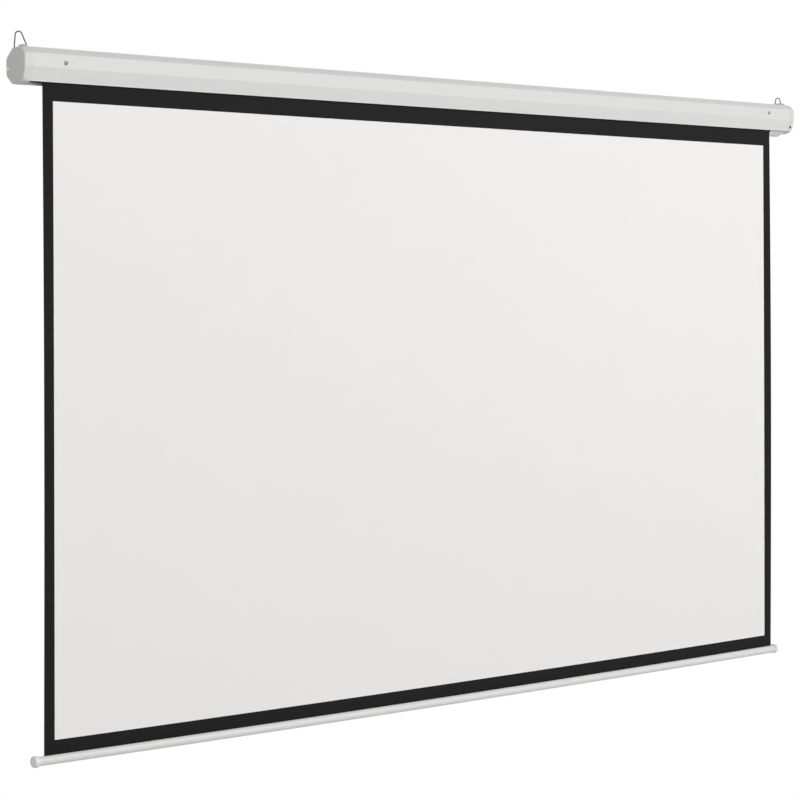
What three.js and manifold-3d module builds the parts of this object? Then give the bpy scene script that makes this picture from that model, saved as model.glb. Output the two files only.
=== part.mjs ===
// Motorised projector screen, drawn lowered. A rolled steel case holds a tube motor and a fabric
// roller. The bordered screen leaves the front of the roller, passes the slot under the case and
// ends in a weight bar. A wire loop at each end hangs the case.
// Millimetres. +X runs along the case to the viewer's right, -Y faces the viewer and +Z is up.
// The origin is the centre of the case's flat back.

import * as THREE from "three";
import { mergeVertices } from "three/addons/utils/BufferGeometryUtils.js";
import Module from "manifold-3d";

const wasm = await Module();
wasm.setup();

// Screen
const PICTURE_WIDTH = 2214;
const PICTURE_HEIGHT = 1245;
const SIDE_BORDER = 25.5;
const BOTTOM_BORDER = 26;
const PICTURE_TOP_DROP = 67; // from the case's middle down to the picture
const FABRIC_THICKNESS = 0.4;
const EDGE_CURL = 3.5; // how far the free edges curl to the front at mid-height
const EDGE_CURL_WIDTH = 60;
const SHEET_COLUMNS = 18;
const SHEET_ROWS = 12;

// Case
const IDLER_ALLOWANCE = 50; // from the fabric's edge to the end of the left cap
const MOTOR_ALLOWANCE = 86.5; // the same on the right, where the motor's head needs more
const CASE_DEPTH = 67;
const CASE_SHEET = 1;
const CASE_BEND = 5;
const BACK_BEND = 12; // of the rounder corners at the back
const SHOULDER_DEPTH = 14; // the sloping band above the front
const SHOULDER_DROP = 12.5;
const FRONT_HEIGHT = 27; // the upright band
const SKIRT_HEIGHT = 28; // the band that tucks back to the slot
const SKIRT_TUCK = 7;
const BACK_SHOULDER_DEPTH = 23;
const BACK_SHOULDER_DROP = 21.5;
const BACK_FLAT = 34;
const BACK_FOOT_DEPTH = 20;
const BACK_FOOT_DROP = 17;
const SLOT_REAR_FALL = 1.5; // how much lower the underside is at the slot than at the back
const HEM_LEDGE = 3;
const SLOT_WIDTH = 18;
const LIP_HEIGHT = 6;
const LIP_BEND = 1.4;

// End caps
const CAP_WALL = 1;
const CAP_END_WALL = 1.5;
const CAP_ROUNDING = 2.5;
const CAP_CROWN = 0.6;
const CAP_CROWN_INSET = 12;
const CAP_STEPS = 4;
const CAP_NARROWING_SHARE = 0.08; // how much less deep the cap is at its end than at its mouth
const CAP_LOWERING_SHARE = 0.03; // how much less tall
const FOOT_ROUNDING = 20; // how much rounder its lower front corner is there
const NARROWING_DEPTH = 5; // the point low on the front that it narrows towards
const NARROWING_DROP = 20;
const SMALLEST_ROUNDING = 0.5;

// The chin of the motor end's cap, which closes the slot beside the fabric
const CHIN_CLEARANCE = 3; // from the fabric's edge
const CHIN_SLIT = 1.3; // left open under the skirt
const CHIN_RUN = 10;
const CHIN_DEPTH = 6.5;
const CHIN_BACK = 11;
const CHIN_BACK_RUN = 4;
const CHIN_BACK_RISE = 5.5;
const CHIN_BEND = 2;
const CHIN_SLANT_SHARE = 1.3; // how far its full depth ends sooner at the front
const CHIN_TIP_INSET = 1.2; // from the cap's end to where it has run out
const CHIN_TIP_SLANT_SHARE = 0.5;
const CHIN_TIP_SHARE = 0.2; // of its depth that is left there

// End brackets
const PLATE_THICKNESS = 2;
const PLATE_INSET = 17.4; // from the end of the cap to the plate's outer face
const EAR_HEIGHT = 5.5;
const EAR_FRONT_HEIGHT = 3;
const EAR_FRONT = 21; // in front of the loop
const EAR_TOP_WIDTH = 13;
const EAR_BACK = 15.4; // behind the loop, where the ear meets the sloping back
const TONGUE_LENGTH = 100;
const TONGUE_HEIGHT = 18;
const TONGUE_THICKNESS = 1.5;
const FLANGE_LENGTH = 11;
const FLANGE_HEIGHT = 10;
const FLANGE_THICKNESS = 1.5;

// Hanging loops
const LOOP_WIRE = 2.6;
const LOOP_FROM_BACK = 29.4;
const LOOP_HEIGHT = 32.3;
const LOOP_FOOT_WIDTH = 27.5;
const LOOP_LEG_LEAN = THREE.MathUtils.degToRad(14.4);
const LOOP_TURN = THREE.MathUtils.degToRad(15); // of its plane away from the wall's
const LOOP_FOOT_RADIUS = 3;
const LEFT_LOOP_SHIFT = 1.2; // to the outside of its plate
const LEFT_LOOP_TILT = THREE.MathUtils.degToRad(9.5);
const RIGHT_LOOP_TILT = THREE.MathUtils.degToRad(1.5);
const LOOP_TRAVEL = 11.6;
const LOOP_SUNK = 1.5; // base wire below the case's top when the loop is drawn up
const LOOP_SLOT_CLEARANCE = 0.6;
const LOOP_NOTCH_ROOM = 6; // below the lowered wire, which can hang askew
const LOOP_PATH_STEPS = 5;
const LOOP_SIDES = 8;

// Screws
const CASE_SCREW = { headRadius: 4, headHeight: 2.2, shankRadius: 2, length: 8, slot: 0.9 };
const CAP_SCREW = { headRadius: 3.5, headHeight: 1.9, shankRadius: 1.75, length: 20, slot: 0.8 };
const SIDE_SCREW = { headRadius: 3.2, headHeight: 1.7, shankRadius: 1.6, length: 6, slot: 0.7 };
const HEAD_SCREW = { headRadius: 3, headHeight: 1.7, shankRadius: 1.5, length: 12, slot: 0.7 };
const IDLER_SCREW_ON_TONGUE = 21.4; // from the free end of the bracket's tongue
const MOTOR_SCREW_ON_TONGUE = 15.4;
const IDLER_SCREW_Z = 9.5;
const MOTOR_SCREW_Z = 14.2;
const CAP_SCREW_FROM_BACK = 11;
const CAP_SCREW_Z = -4.5;
const SIDE_SCREW_FROM_END = 12.5;
const SIDE_SCREW_DOWN_SKIRT = 17.5;
const SEAT_DEPTH = 1; // spot faces in the domed cap
const HEAD_TOP_SHARE = 0.7; // flat top of a pan head, as a share of its radius

// Roller
const ROLLER_DEPTH = 33.5; // from the front of the case to the roller's axis
const ROLLER_RADIUS = 19;
const ROLLER_WALL = 1;
const ROLLER_OVERHANG = 8; // tube past the fabric at each side
const WRAP_THICKNESS = 0.8; // the turns that stay on when the screen is down
const PLUG_LENGTH = 40;
const PLUG_COLLAR = 5;
const COLLAR_RADIUS = 21;
const BUSH_WALL = 3;
const BUSH_LENGTH = 18;
const PIN_RADIUS = 4;
const PIN_FLANGE_RADIUS = 8;
const PIN_FLANGE = 3;
const PIN_STUB_RADIUS = 3;
const PIN_STUB_HEAD = 4.6;
const PIN_STUB_HEAD_THICKNESS = 1.2;

// Motor
const MOTOR_RADIUS = 16;
const MOTOR_WALL = 1.2;
const MOTOR_LENGTH = 430;
const HEAD_RADIUS = 20;
const HEAD_EDGE = 1.5;
const GEARBOX_LENGTH = 90;
const GEARBOX_FLANGE = 8;
const BRAKE_LENGTH = 40;
const CAPACITOR_LENGTH = 60;
const WIRING_ROOM = 69; // between the capacitor and the head
const SHAFT_RADIUS = 5;
const SHAFT_LENGTH = 34;
const DRIVE_WHEEL_LENGTH = 26;
const DRIVE_WHEEL_LOBES = 6;
const DRIVE_WHEEL_GROOVE = 2.2;
const CROWN_LENGTH = 24;
const LIMIT_SCREW_RADIUS = 2.8;
const LIMIT_SCREW_LENGTH = 8;
const LIMIT_SCREW_HEX = 1.5;
const LIMIT_SCREW_SPREAD = 17; // between the two adjusters
const LIMIT_SCREW_RISE = 7;
const LIMIT_ACCESS_RADIUS = 3.5;
const HEAD_SCREW_OFFSET = 14;

// Cable entry
const GLAND_RADIUS = 6;
const GLAND_FLANGE_RADIUS = 8.5;
const GLAND_FLANGE = 2;
const GLAND_BORE = 3.6;
const GLAND_NOSE = 4;
const GLAND_NOSE_RADIUS = 5.2;
const GLAND_REACH = 6;
const GLAND_NUT_RADIUS = 9;
const GLAND_NUT = 3;
const GLAND_DROP = 22; // below the roller's axis

// Weight bar
const LEFT_BAR_OVERHANG = 26.5; // the bar and its cap past the fabric's edge
const RIGHT_BAR_OVERHANG = 18.5;
const BAR_RADIUS = 9.25;
const BAR_WALL = 1.2;
const BAR_SLIT = 3.2;
const BAR_SAG = 4.5;
const BAR_STEPS = 8;
const BAR_CAP_RADIUS = 11.4;
const BAR_CAP_LENGTH = 10;
const BAR_CAP_END = 3;
const BAR_CAP_EDGE = 5;
const ROD_RADIUS = 3;

// Fits and counts
const GAP = 0.3; // between neighbouring pieces that don't move on each other
const HOLE_CLEARANCE = 0.3;
const OVERRUN = 5; // how far a cutter passes what it cuts
const ARC_STEPS = 3;
const ROUND_SIDES = 28;
const SMALL_ROUND_SIDES = 16;
const BAR_SIDES = 22;
const HEM_SIDES = 12;
const HEX_SIDES = 6;

// Places worked out from the sizes above
const top = BACK_SHOULDER_DROP + BACK_FLAT / 2;
const footRear = -BACK_FLAT / 2 - BACK_FOOT_DROP;
const front = -CASE_DEPTH;
const frontTop = top - SHOULDER_DROP;
const ridge = frontTop - FRONT_HEIGHT;
const hem = ridge - SKIRT_HEIGHT;
const skirtSlope = SKIRT_TUCK / SKIRT_HEIGHT;
const skirtAngle = Math.atan(skirtSlope);
const slotFront = front + SKIRT_TUCK + HEM_LEDGE;
const slotRear = slotFront + SLOT_WIDTH;
const slotRearFoot = footRear - SLOT_REAR_FALL;
const fabricWidth = PICTURE_WIDTH + 2 * SIDE_BORDER;
const end = (IDLER_ALLOWANCE + fabricWidth + MOTOR_ALLOWANCE) / 2;
const fabricLeft = -end + IDLER_ALLOWANCE;
const fabricRight = end - MOTOR_ALLOWANCE;
const plateOuter = end - PLATE_INSET;
const plateInner = plateOuter - PLATE_THICKNESS;
const plateMiddle = (plateOuter + plateInner) / 2;
const caseEnd = plateInner - GAP;
const capLength = end - plateInner;
const axisY = front + ROLLER_DEPTH;
const tubeBore = ROLLER_RADIUS - ROLLER_WALL;
const wrapInner = ROLLER_RADIUS + GAP;
const wrapOuter = wrapInner + WRAP_THICKNESS;
const fabricY = axisY - wrapOuter - GAP - FABRIC_THICKNESS / 2;
const pictureBottom = -PICTURE_TOP_DROP - PICTURE_HEIGHT;
const barTop = pictureBottom - BOTTOM_BORDER;
const barZ = barTop - BAR_RADIUS;
const barLeft = fabricLeft - LEFT_BAR_OVERHANG;
const barRight = fabricRight + RIGHT_BAR_OVERHANG;
const barMiddle = (barLeft + barRight) / 2;
const tubeLeft = fabricLeft - ROLLER_OVERHANG;
const tubeRight = fabricRight + ROLLER_OVERHANG;
const loopRaisedZ = top - LOOP_SUNK;
const loopLoweredZ = loopRaisedZ - LOOP_TRAVEL;
const loopSlot = LOOP_WIRE + 2 * LOOP_SLOT_CLEARANCE;
const loopY = -LOOP_FROM_BACK;

const V2 = (a, b) => new THREE.Vector2(a, b);

// The corners of the case's outline without its slot, clockwise as seen from the left end, as
// (y, z) with their bends. The last has a second number: how much rounder it is at a cap's end.
const upperCorners = [
  [V2(front, ridge), CASE_BEND],
  [V2(front, frontTop), CASE_BEND],
  [V2(front + SHOULDER_DEPTH, top), CASE_BEND],
  [V2(-BACK_SHOULDER_DEPTH, top), BACK_BEND],
  [V2(0, BACK_FLAT / 2), BACK_BEND],
  [V2(0, -BACK_FLAT / 2), BACK_BEND],
  [V2(-BACK_FOOT_DEPTH, footRear), BACK_BEND],
];
const sectionCorners = [
  ...upperCorners,
  [V2(slotRear, slotRearFoot), CASE_BEND],
  [V2(front + SKIRT_TUCK, hem), LIP_BEND, FOOT_ROUNDING],
];

// A closed solid from any geometry, whichever way round its faces were.
function solidOf(geometry) {
  const bare = geometry.clone();
  bare.deleteAttribute("normal");
  bare.deleteAttribute("uv");
  const merged = mergeVertices(bare);
  const kept = [];
  const index = merged.index.array;
  for (let i = 0; i < index.length; i += 3) {
    const [a, b, c] = [index[i], index[i + 1], index[i + 2]];
    if (a !== b && b !== c && c !== a) kept.push([a, b, c]);
  }
  const make = (faces) =>
    new wasm.Manifold(
      new wasm.Mesh({
        numProp: 3,
        vertProperties: merged.attributes.position.array,
        triVerts: new Uint32Array(faces.flat()),
      }),
    );
  const made = make(kept);
  return made.volume() < 0 ? make(kept.map(([a, b, c]) => [a, c, b])) : made;
}

function geometryOf(solid) {
  const mesh = solid.getMesh();
  const geometry = new THREE.BufferGeometry();
  geometry.setAttribute("position", new THREE.BufferAttribute(mesh.vertProperties, 3));
  geometry.setIndex(new THREE.BufferAttribute(mesh.triVerts, 1));
  geometry.computeVertexNormals();
  return geometry;
}

const cut = (solid, ...cutters) => cutters.reduce((left, cutter) => left.subtract(cutter), solid);
const join = (solid, ...others) => others.reduce((sum, other) => sum.add(other), solid);

// Points of the arc that rounds one corner of a path.
function bend(before, corner, after, radius, steps = ARC_STEPS) {
  const arriving = corner.clone().sub(before).normalize();
  const leaving = after.clone().sub(corner).normalize();
  const turn = Math.atan2(arriving.cross(leaving), arriving.dot(leaving));
  const reach = radius * Math.tan(Math.abs(turn) / 2);
  const start = corner.clone().addScaledVector(arriving, -reach);
  const side = V2(-arriving.y, arriving.x).multiplyScalar(Math.sign(turn) * radius);
  const centre = start.clone().add(side);
  return Array.from({ length: steps + 1 }, (_, i) =>
    start.clone().rotateAround(centre, (turn * i) / steps),
  );
}

function roundedLoop(corners, radii, steps) {
  const count = corners.length;
  return corners.flatMap((corner, i) => {
    const before = corners[(i + count - 1) % count];
    return bend(before, corner, corners[(i + 1) % count], radii[i], steps);
  });
}

// An open path whose corners are rounded where they have a radius.
function roundedPath(corners) {
  return corners.flatMap(([corner, radius], i) =>
    radius ? bend(corners[i - 1][0], corner, corners[i + 1][0], radius) : [corner],
  );
}

// A clockwise convex outline moved outwards by grow.
function grown(corners, grow) {
  const count = corners.length;
  return corners.map((corner, i) => {
    const along = [corner.clone().sub(corners[(i + count - 1) % count])];
    along.push(corners[(i + 1) % count].clone().sub(corner));
    const [a, b] = along.map((edge) => V2(-edge.y, edge.x).normalize());
    const shift = a.clone().add(b).multiplyScalar(grow / (1 + a.dot(b)));
    return corner.clone().add(shift);
  });
}

// The whole outline, moved outwards by grow. Up to a share of 1 it is drawn in towards the low
// front, as at a cap's end.
function sectionOutline(grow, share = 0) {
  const { lerp } = THREE.MathUtils;
  const places = sectionCorners.map(([corner]) =>
    V2(
      lerp(corner.x, front + NARROWING_DEPTH, CAP_NARROWING_SHARE * share),
      lerp(corner.y, -NARROWING_DROP, CAP_LOWERING_SHARE * share),
    ),
  );
  const radii = sectionCorners.map(([, radius, more = 0]) =>
    Math.max(radius + more * share + grow, SMALLEST_ROUNDING),
  );
  return roundedLoop(grown(places, grow), radii);
}

// An open path moved to its left by shift.
function movedPath(points, shift) {
  return points.map((point, i) => {
    const arriving = point.clone().sub(points[Math.max(i - 1, 0)]);
    const leaving = points[Math.min(i + 1, points.length - 1)].clone().sub(point);
    const edges = [arriving, leaving].filter((edge) => edge.length() > 0);
    const normals = edges.map((edge) => V2(-edge.y, edge.x).normalize());
    const [a, b] = [normals[0], normals[normals.length - 1]];
    const side = a.clone().add(b).multiplyScalar(shift / (1 + a.dot(b)));
    return point.clone().add(side);
  });
}

// A (y, z) outline drawn out along X between two places, in either order.
const alongX = new THREE.Matrix4().makeBasis(
  new THREE.Vector3(0, 1, 0),
  new THREE.Vector3(0, 0, 1),
  new THREE.Vector3(1, 0, 0),
);

function drawnOut(outline, from, to, steps = 1, holes = []) {
  const shape = new THREE.Shape(outline);
  shape.holes = holes.map((hole) => new THREE.Path(hole));
  const depth = Math.abs(to - from);
  const geometry = new THREE.ExtrudeGeometry(shape, { depth, steps, bevelEnabled: false });
  return geometry.applyMatrix4(alongX).translate(Math.min(from, to), 0, 0);
}

const slab = (outline, from, to) => solidOf(drawnOut(outline, from, to));

// A profile of [radius, x] points turned round the line along X through (y, z).
function turned(profile, y, z, sides = ROUND_SIDES) {
  const points = profile.map(([radius, x]) => V2(radius, x));
  const lathe = new THREE.LatheGeometry(points, sides);
  const basis = new THREE.Matrix4().makeBasis(
    new THREE.Vector3(0, 0, 1),
    new THREE.Vector3(1, 0, 0),
    new THREE.Vector3(0, 1, 0),
  );
  return solidOf(lathe.applyMatrix4(basis).translate(0, y, z));
}

const rod = (radius, from, to, y, z, sides = ROUND_SIDES) =>
  turned([[0, from], [radius, from], [radius, to], [0, to]], y, z, sides);

const sleeve = (inner, outer, from, to, y, z, sides = ROUND_SIDES) =>
  turned([[inner, from], [outer, from], [outer, to], [inner, to], [inner, from]], y, z, sides);

function block(x, y, z) {
  const geometry = new THREE.BoxGeometry(x[1] - x[0], y[1] - y[0], z[1] - z[0]);
  return solidOf(
    geometry.translate((x[0] + x[1]) / 2, (y[0] + y[1]) / 2, (z[0] + z[1]) / 2),
  );
}

const span = (middle, width) => [middle - width / 2, middle + width / 2];
const ordered = (a, b) => [Math.min(a, b), Math.max(a, b)];

// Skin between rings of equal count, with flat ends.
function loft(rings) {
  const count = rings[0].length;
  const positions = rings.flat().flatMap((point) => point.toArray());
  const index = [];
  for (let r = 0; r + 1 < rings.length; r++) {
    for (let i = 0; i < count; i++) {
      const [a, b] = [r * count + i, r * count + ((i + 1) % count)];
      index.push(a, b, a + count, b, b + count, a + count);
    }
  }
  const last = (rings.length - 1) * count;
  for (let i = 1; i + 1 < count; i++) {
    index.push(0, i + 1, i);
    index.push(last, last + i, last + i + 1);
  }
  const geometry = new THREE.BufferGeometry();
  geometry.setAttribute("position", new THREE.Float32BufferAttribute(positions, 3));
  geometry.setIndex(index);
  return solidOf(geometry);
}

// Parts with a material of their own
const model = new THREE.Group();

function place(parent, name, solid, colour, roughness, metalness) {
  const material = new THREE.MeshStandardMaterial({ color: colour, roughness, metalness });
  const mesh = new THREE.Mesh(geometryOf(solid), material);
  mesh.name = name;
  parent.add(mesh);
  return mesh;
}

const powderCoat = ["#e2e2e0", 0.55, 0.1];
const mouldedWhite = ["#dcdcda", 0.5, 0];
const zincPlate = ["#b9bcc0", 0.4, 0.9];
const creamPaint = ["#e6e4da", 0.5, 0.1];
const brightSteel = ["#c9cbce", 0.3, 1];
const darkWire = ["#5a5b5d", 0.4, 0.9];
const aluminium = ["#c4c6c8", 0.35, 0.9];
const blackPlastic = ["#202122", 0.5, 0];
const greyPlastic = ["#8b8d90", 0.55, 0];
const whiteCloth = ["#ececea", 0.9, 0];
const blackCloth = ["#161617", 0.9, 0];
const brassTone = ["#b59a54", 0.4, 0.9];

// A pan head screw whose seat is y = 0, with its head towards -Y.
function panScrew({ headRadius, headHeight, shankRadius, length, slot }) {
  const profile = [
    [0, length],
    [shankRadius / 2, length],
    [shankRadius, length - shankRadius],
    [shankRadius, 0],
    [headRadius, 0],
    [headRadius, -headHeight / 2],
    [headRadius * HEAD_TOP_SHARE, -headHeight],
    [0, -headHeight],
  ];
  const lathe = new THREE.LatheGeometry(profile.map(([r, y]) => V2(r, y)), SMALL_ROUND_SIDES);
  const depth = [-headHeight - OVERRUN, -headHeight / 2];
  const arm = span(0, headRadius);
  const crossA = block(arm, depth, span(0, slot));
  const crossB = block(span(0, slot), depth, arm);
  return cut(solidOf(lathe), crossA, crossB);
}

// The hole that a screw along X passes, through everything between two places.
const screwHole = (screw, from, to, y, z) =>
  rod(screw.shankRadius + HOLE_CLEARANCE, from, to, y, z, SMALL_ROUND_SIDES);

function makeCase() {
  const path = roundedPath([
    [V2(slotFront, hem + LIP_HEIGHT)],
    [V2(slotFront, hem), LIP_BEND],
    [V2(front + SKIRT_TUCK, hem), LIP_BEND],
    ...upperCorners,
    [V2(slotRear, slotRearFoot), LIP_BEND],
    [V2(slotRear, slotRearFoot + LIP_HEIGHT)],
  ]);
  const outline = [...path, ...movedPath(path, -CASE_SHEET).reverse()];
  let shell = slab(outline, -caseEnd, caseEnd);
  for (const side of [-1, 1]) {
    const hole = new THREE.CylinderGeometry(
      CASE_SCREW.shankRadius + HOLE_CLEARANCE,
      CASE_SCREW.shankRadius + HOLE_CLEARANCE,
      2 * OVERRUN,
      SMALL_ROUND_SIDES,
    );
    hole.translate(caseScrewX(side), front, caseScrewZ(side));
    shell = cut(shell, solidOf(hole), loopNotch(side));
  }
  return shell;
}

function caseScrewX(side) {
  const onTongue = side < 0 ? IDLER_SCREW_ON_TONGUE : MOTOR_SCREW_ON_TONGUE;
  return side * (plateInner - TONGUE_LENGTH + onTongue);
}

const caseScrewZ = (side) => (side < 0 ? IDLER_SCREW_Z : MOTOR_SCREW_Z);

// The room that a loop needs where it passes the top of the case and of the cap.
function loopNotch(side) {
  const reach = LOOP_FOOT_WIDTH / 2 + LOOP_WIRE / 2 + LOOP_SLOT_CLEARANCE + LEFT_LOOP_SHIFT;
  const [low, high] = [loopLoweredZ - LOOP_NOTCH_ROOM, top + OVERRUN];
  return solidOf(
    new THREE.BoxGeometry(2 * reach, loopSlot, high - low)
      .rotateZ(-LOOP_TURN)
      .translate(side * plateMiddle, loopY, (low + high) / 2),
  );
}

// The cap's outer or inner form between two distances from its mouth. It narrows all the way,
// faster near its end, which is rounded and slightly crowned.
function capForm(side, from, to, grow, rounding) {
  const ring = (out, inset) => {
    const share = Math.max(out, 0) / capLength;
    return sectionOutline(grow - inset, (share + share * share) / 2).map(
      (point) => new THREE.Vector3(side * (plateInner + out), point.x, point.y),
    );
  };
  const rim = to - CAP_CROWN - rounding;
  const rings = [];
  for (let i = 0; i < CAP_STEPS; i++) {
    rings.push(ring(from + ((rim - from) * i) / CAP_STEPS, 0));
  }
  for (let i = 0; i <= ARC_STEPS; i++) {
    const angle = ((Math.PI / 2) * i) / ARC_STEPS;
    rings.push(ring(rim + rounding * Math.sin(angle), rounding * (1 - Math.cos(angle))));
  }
  rings.push(ring(to, rounding + CAP_CROWN_INSET));
  return loft(rings);
}

function makeCap(side, additions = []) {
  const outer = join(capForm(side, 0, capLength, 0, CAP_ROUNDING), ...additions);
  const cavityTip = capLength - CAP_END_WALL;
  const cavity = capForm(side, -GAP, cavityTip, -CAP_WALL, CAP_ROUNDING - CAP_WALL);
  const earNotch = block(
    ordered(side * caseEnd, side * (plateOuter + GAP)),
    [loopY - EAR_FRONT - GAP, loopY + EAR_BACK + GAP],
    [frontTop, top + OVERRUN],
  );
  const seat = end - SEAT_DEPTH;
  const screwY = -CAP_SCREW_FROM_BACK;
  const spotFace = rod(
    CAP_SCREW.headRadius + HOLE_CLEARANCE,
    side * seat,
    side * (end + OVERRUN),
    screwY,
    CAP_SCREW_Z,
    SMALL_ROUND_SIDES,
  );
  const hole = screwHole(CAP_SCREW, side * plateOuter, side * end, screwY, CAP_SCREW_Z);
  return cut(outer, cavity, earNotch, loopNotch(side), spotFace, hole);
}

// The chin: a shallow channel under the slot, which runs out into the cap's underside. Its full
// depth ends on a slant, sooner at the front than at the back.
function makeChin() {
  const lip = slotFront + GAP;
  const floor = slotRearFoot - CHIN_DEPTH;
  const rear = slotRear + CHIN_BACK;
  const outside = roundedPath([
    [V2(lip, hem - CHIN_SLIT)],
    [V2(lip + CHIN_RUN, floor), CHIN_BEND],
    [V2(rear, floor), CHIN_BEND],
    [V2(rear + CHIN_BACK_RUN, floor + CHIN_BACK_RISE)],
  ]);
  const inside = movedPath(outside, CAP_WALL).reverse();
  const ring = (x, slantShare, share) =>
    [...outside, ...inside].map((point) => {
      const z = hem + (point.y - hem) * share;
      return new THREE.Vector3(x - (rear - point.x) * slantShare, point.x, z);
    });
  return sheetLoft([
    ring(fabricRight + CHIN_CLEARANCE, 0, 1),
    ring(plateInner, CHIN_SLANT_SHARE, 1),
    ring(end - CHIN_TIP_INSET, CHIN_TIP_SLANT_SHARE, CHIN_TIP_SHARE),
  ]);
}

// The motor end's cap also has two holes for the limit adjusters, one for the cable and one in
// its skirt for a screw.
function makeMotorCap() {
  const limitHoles = limitPlaces().map(([y, z]) =>
    rod(LIMIT_ACCESS_RADIUS, plateOuter, end + OVERRUN, y, z, SMALL_ROUND_SIDES),
  );
  const glandZ = -GLAND_DROP;
  const glandSeat = rod(
    GLAND_FLANGE_RADIUS + GAP,
    end - SEAT_DEPTH,
    end + OVERRUN,
    axisY,
    glandZ,
  );
  const glandHole = rod(GLAND_RADIUS + GAP, plateOuter, end + OVERRUN, axisY, glandZ);
  const sideHole = onSkirt(
    new THREE.CylinderGeometry(
      SIDE_SCREW.shankRadius + HOLE_CLEARANCE,
      SIDE_SCREW.shankRadius + HOLE_CLEARANCE,
      2 * OVERRUN,
      SMALL_ROUND_SIDES,
    ).translate(end - SIDE_SCREW_FROM_END, 0, -SIDE_SCREW_DOWN_SKIRT),
  );
  const cap = makeCap(1, [makeChin()]);
  return cut(cap, ...limitHoles, glandSeat, glandHole, solidOf(sideHole));
}

const limitPlaces = () => [
  [axisY - LIMIT_SCREW_SPREAD / 2, LIMIT_SCREW_RISE],
  [axisY + LIMIT_SCREW_SPREAD / 2, LIMIT_SCREW_RISE],
];

const headScrewPlaces = () => [
  [axisY - HEAD_SCREW_OFFSET, -LIMIT_SCREW_RISE],
  [axisY + HEAD_SCREW_OFFSET, -LIMIT_SCREW_RISE],
];

// Geometry drawn against the plane y = 0 with z = 0 at the ridge, laid onto the case's skirt.
function onSkirt(geometry) {
  return geometry.rotateX(skirtAngle).translate(0, front, ridge);
}

function makeBracket(side) {
  const inner = side * plateInner;
  const outer = side * plateOuter;
  const earFoot = BACK_FLAT / 2 - ((loopY + EAR_BACK) * BACK_SHOULDER_DROP) / BACK_SHOULDER_DEPTH;
  const ear = [
    V2(loopY - EAR_FRONT, BACK_FLAT / 2),
    V2(loopY - EAR_FRONT, top + EAR_FRONT_HEIGHT),
    V2(loopY - EAR_TOP_WIDTH / 2, top + EAR_HEIGHT),
    V2(loopY + EAR_TOP_WIDTH / 2, top + EAR_HEIGHT),
    V2(loopY + EAR_BACK, earFoot),
    V2(loopY + EAR_BACK, BACK_FLAT / 2),
  ];
  const tongueX = ordered(side * (plateInner - TONGUE_LENGTH), outer);
  const tongueY = front + Math.max(CASE_SHEET, CAP_WALL) + GAP;
  const tongue = block(
    tongueX,
    [tongueY, tongueY + TONGUE_THICKNESS],
    span(caseScrewZ(side), TONGUE_HEIGHT),
  );
  const wireRoom = LOOP_WIRE / 2 + LOOP_SLOT_CLEARANCE;
  const slantRoom = PLATE_THICKNESS * Math.tan(LOOP_TURN);
  const loopHole = block(
    ordered(side * (plateInner - OVERRUN), side * (plateOuter + OVERRUN)),
    span(loopY, loopSlot / Math.cos(LOOP_TURN) + slantRoom),
    [loopLoweredZ - wireRoom, loopRaisedZ + wireRoom],
  );
  const caseScrewHole = new THREE.CylinderGeometry(
    CASE_SCREW.shankRadius + HOLE_CLEARANCE,
    CASE_SCREW.shankRadius + HOLE_CLEARANCE,
    2 * OVERRUN,
    SMALL_ROUND_SIDES,
  ).translate(caseScrewX(side), tongueY, caseScrewZ(side));
  const past = [side * (plateInner - OVERRUN), side * (plateOuter + OVERRUN)];
  const capScrewHole = screwHole(CAP_SCREW, ...past, -CAP_SCREW_FROM_BACK, CAP_SCREW_Z);
  const outline = sectionOutline(-CAP_WALL - 2 * GAP);
  const blank = join(slab(outline, inner, outer), slab(ear, inner, outer), tongue);
  return cut(blank, loopHole, solidOf(caseScrewHole), capScrewHole);
}

function makeIdlerBracket() {
  const past = [-plateInner + OVERRUN, -plateOuter - OVERRUN];
  return cut(makeBracket(-1), rod(PIN_STUB_RADIUS + GAP, ...past, axisY, 0));
}

function makeMotorBracket() {
  const past = [plateInner - OVERRUN, plateOuter + OVERRUN];
  const limitHoles = limitPlaces().map(([y, z]) => rod(LIMIT_ACCESS_RADIUS, ...past, y, z));
  const headHoles = headScrewPlaces().map(([y, z]) => screwHole(HEAD_SCREW, ...past, y, z));
  const cableHole = rod(GLAND_RADIUS + GAP, ...past, axisY, -GLAND_DROP);
  const flangeY = CAP_WALL + GAP;
  const flange = new THREE.BoxGeometry(FLANGE_LENGTH, FLANGE_THICKNESS, FLANGE_HEIGHT).translate(
    plateOuter + FLANGE_LENGTH / 2 - PLATE_THICKNESS / 2,
    flangeY + FLANGE_THICKNESS / 2,
    -SIDE_SCREW_DOWN_SKIRT,
  );
  const tapped = new THREE.CylinderGeometry(
    SIDE_SCREW.shankRadius + HOLE_CLEARANCE,
    SIDE_SCREW.shankRadius + HOLE_CLEARANCE,
    2 * OVERRUN,
    SMALL_ROUND_SIDES,
  ).translate(end - SIDE_SCREW_FROM_END, flangeY, -SIDE_SCREW_DOWN_SKIRT);
  const body = join(makeBracket(1), solidOf(onSkirt(flange)));
  return cut(body, ...limitHoles, ...headHoles, cableHole, solidOf(onSkirt(tapped)));
}

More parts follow.
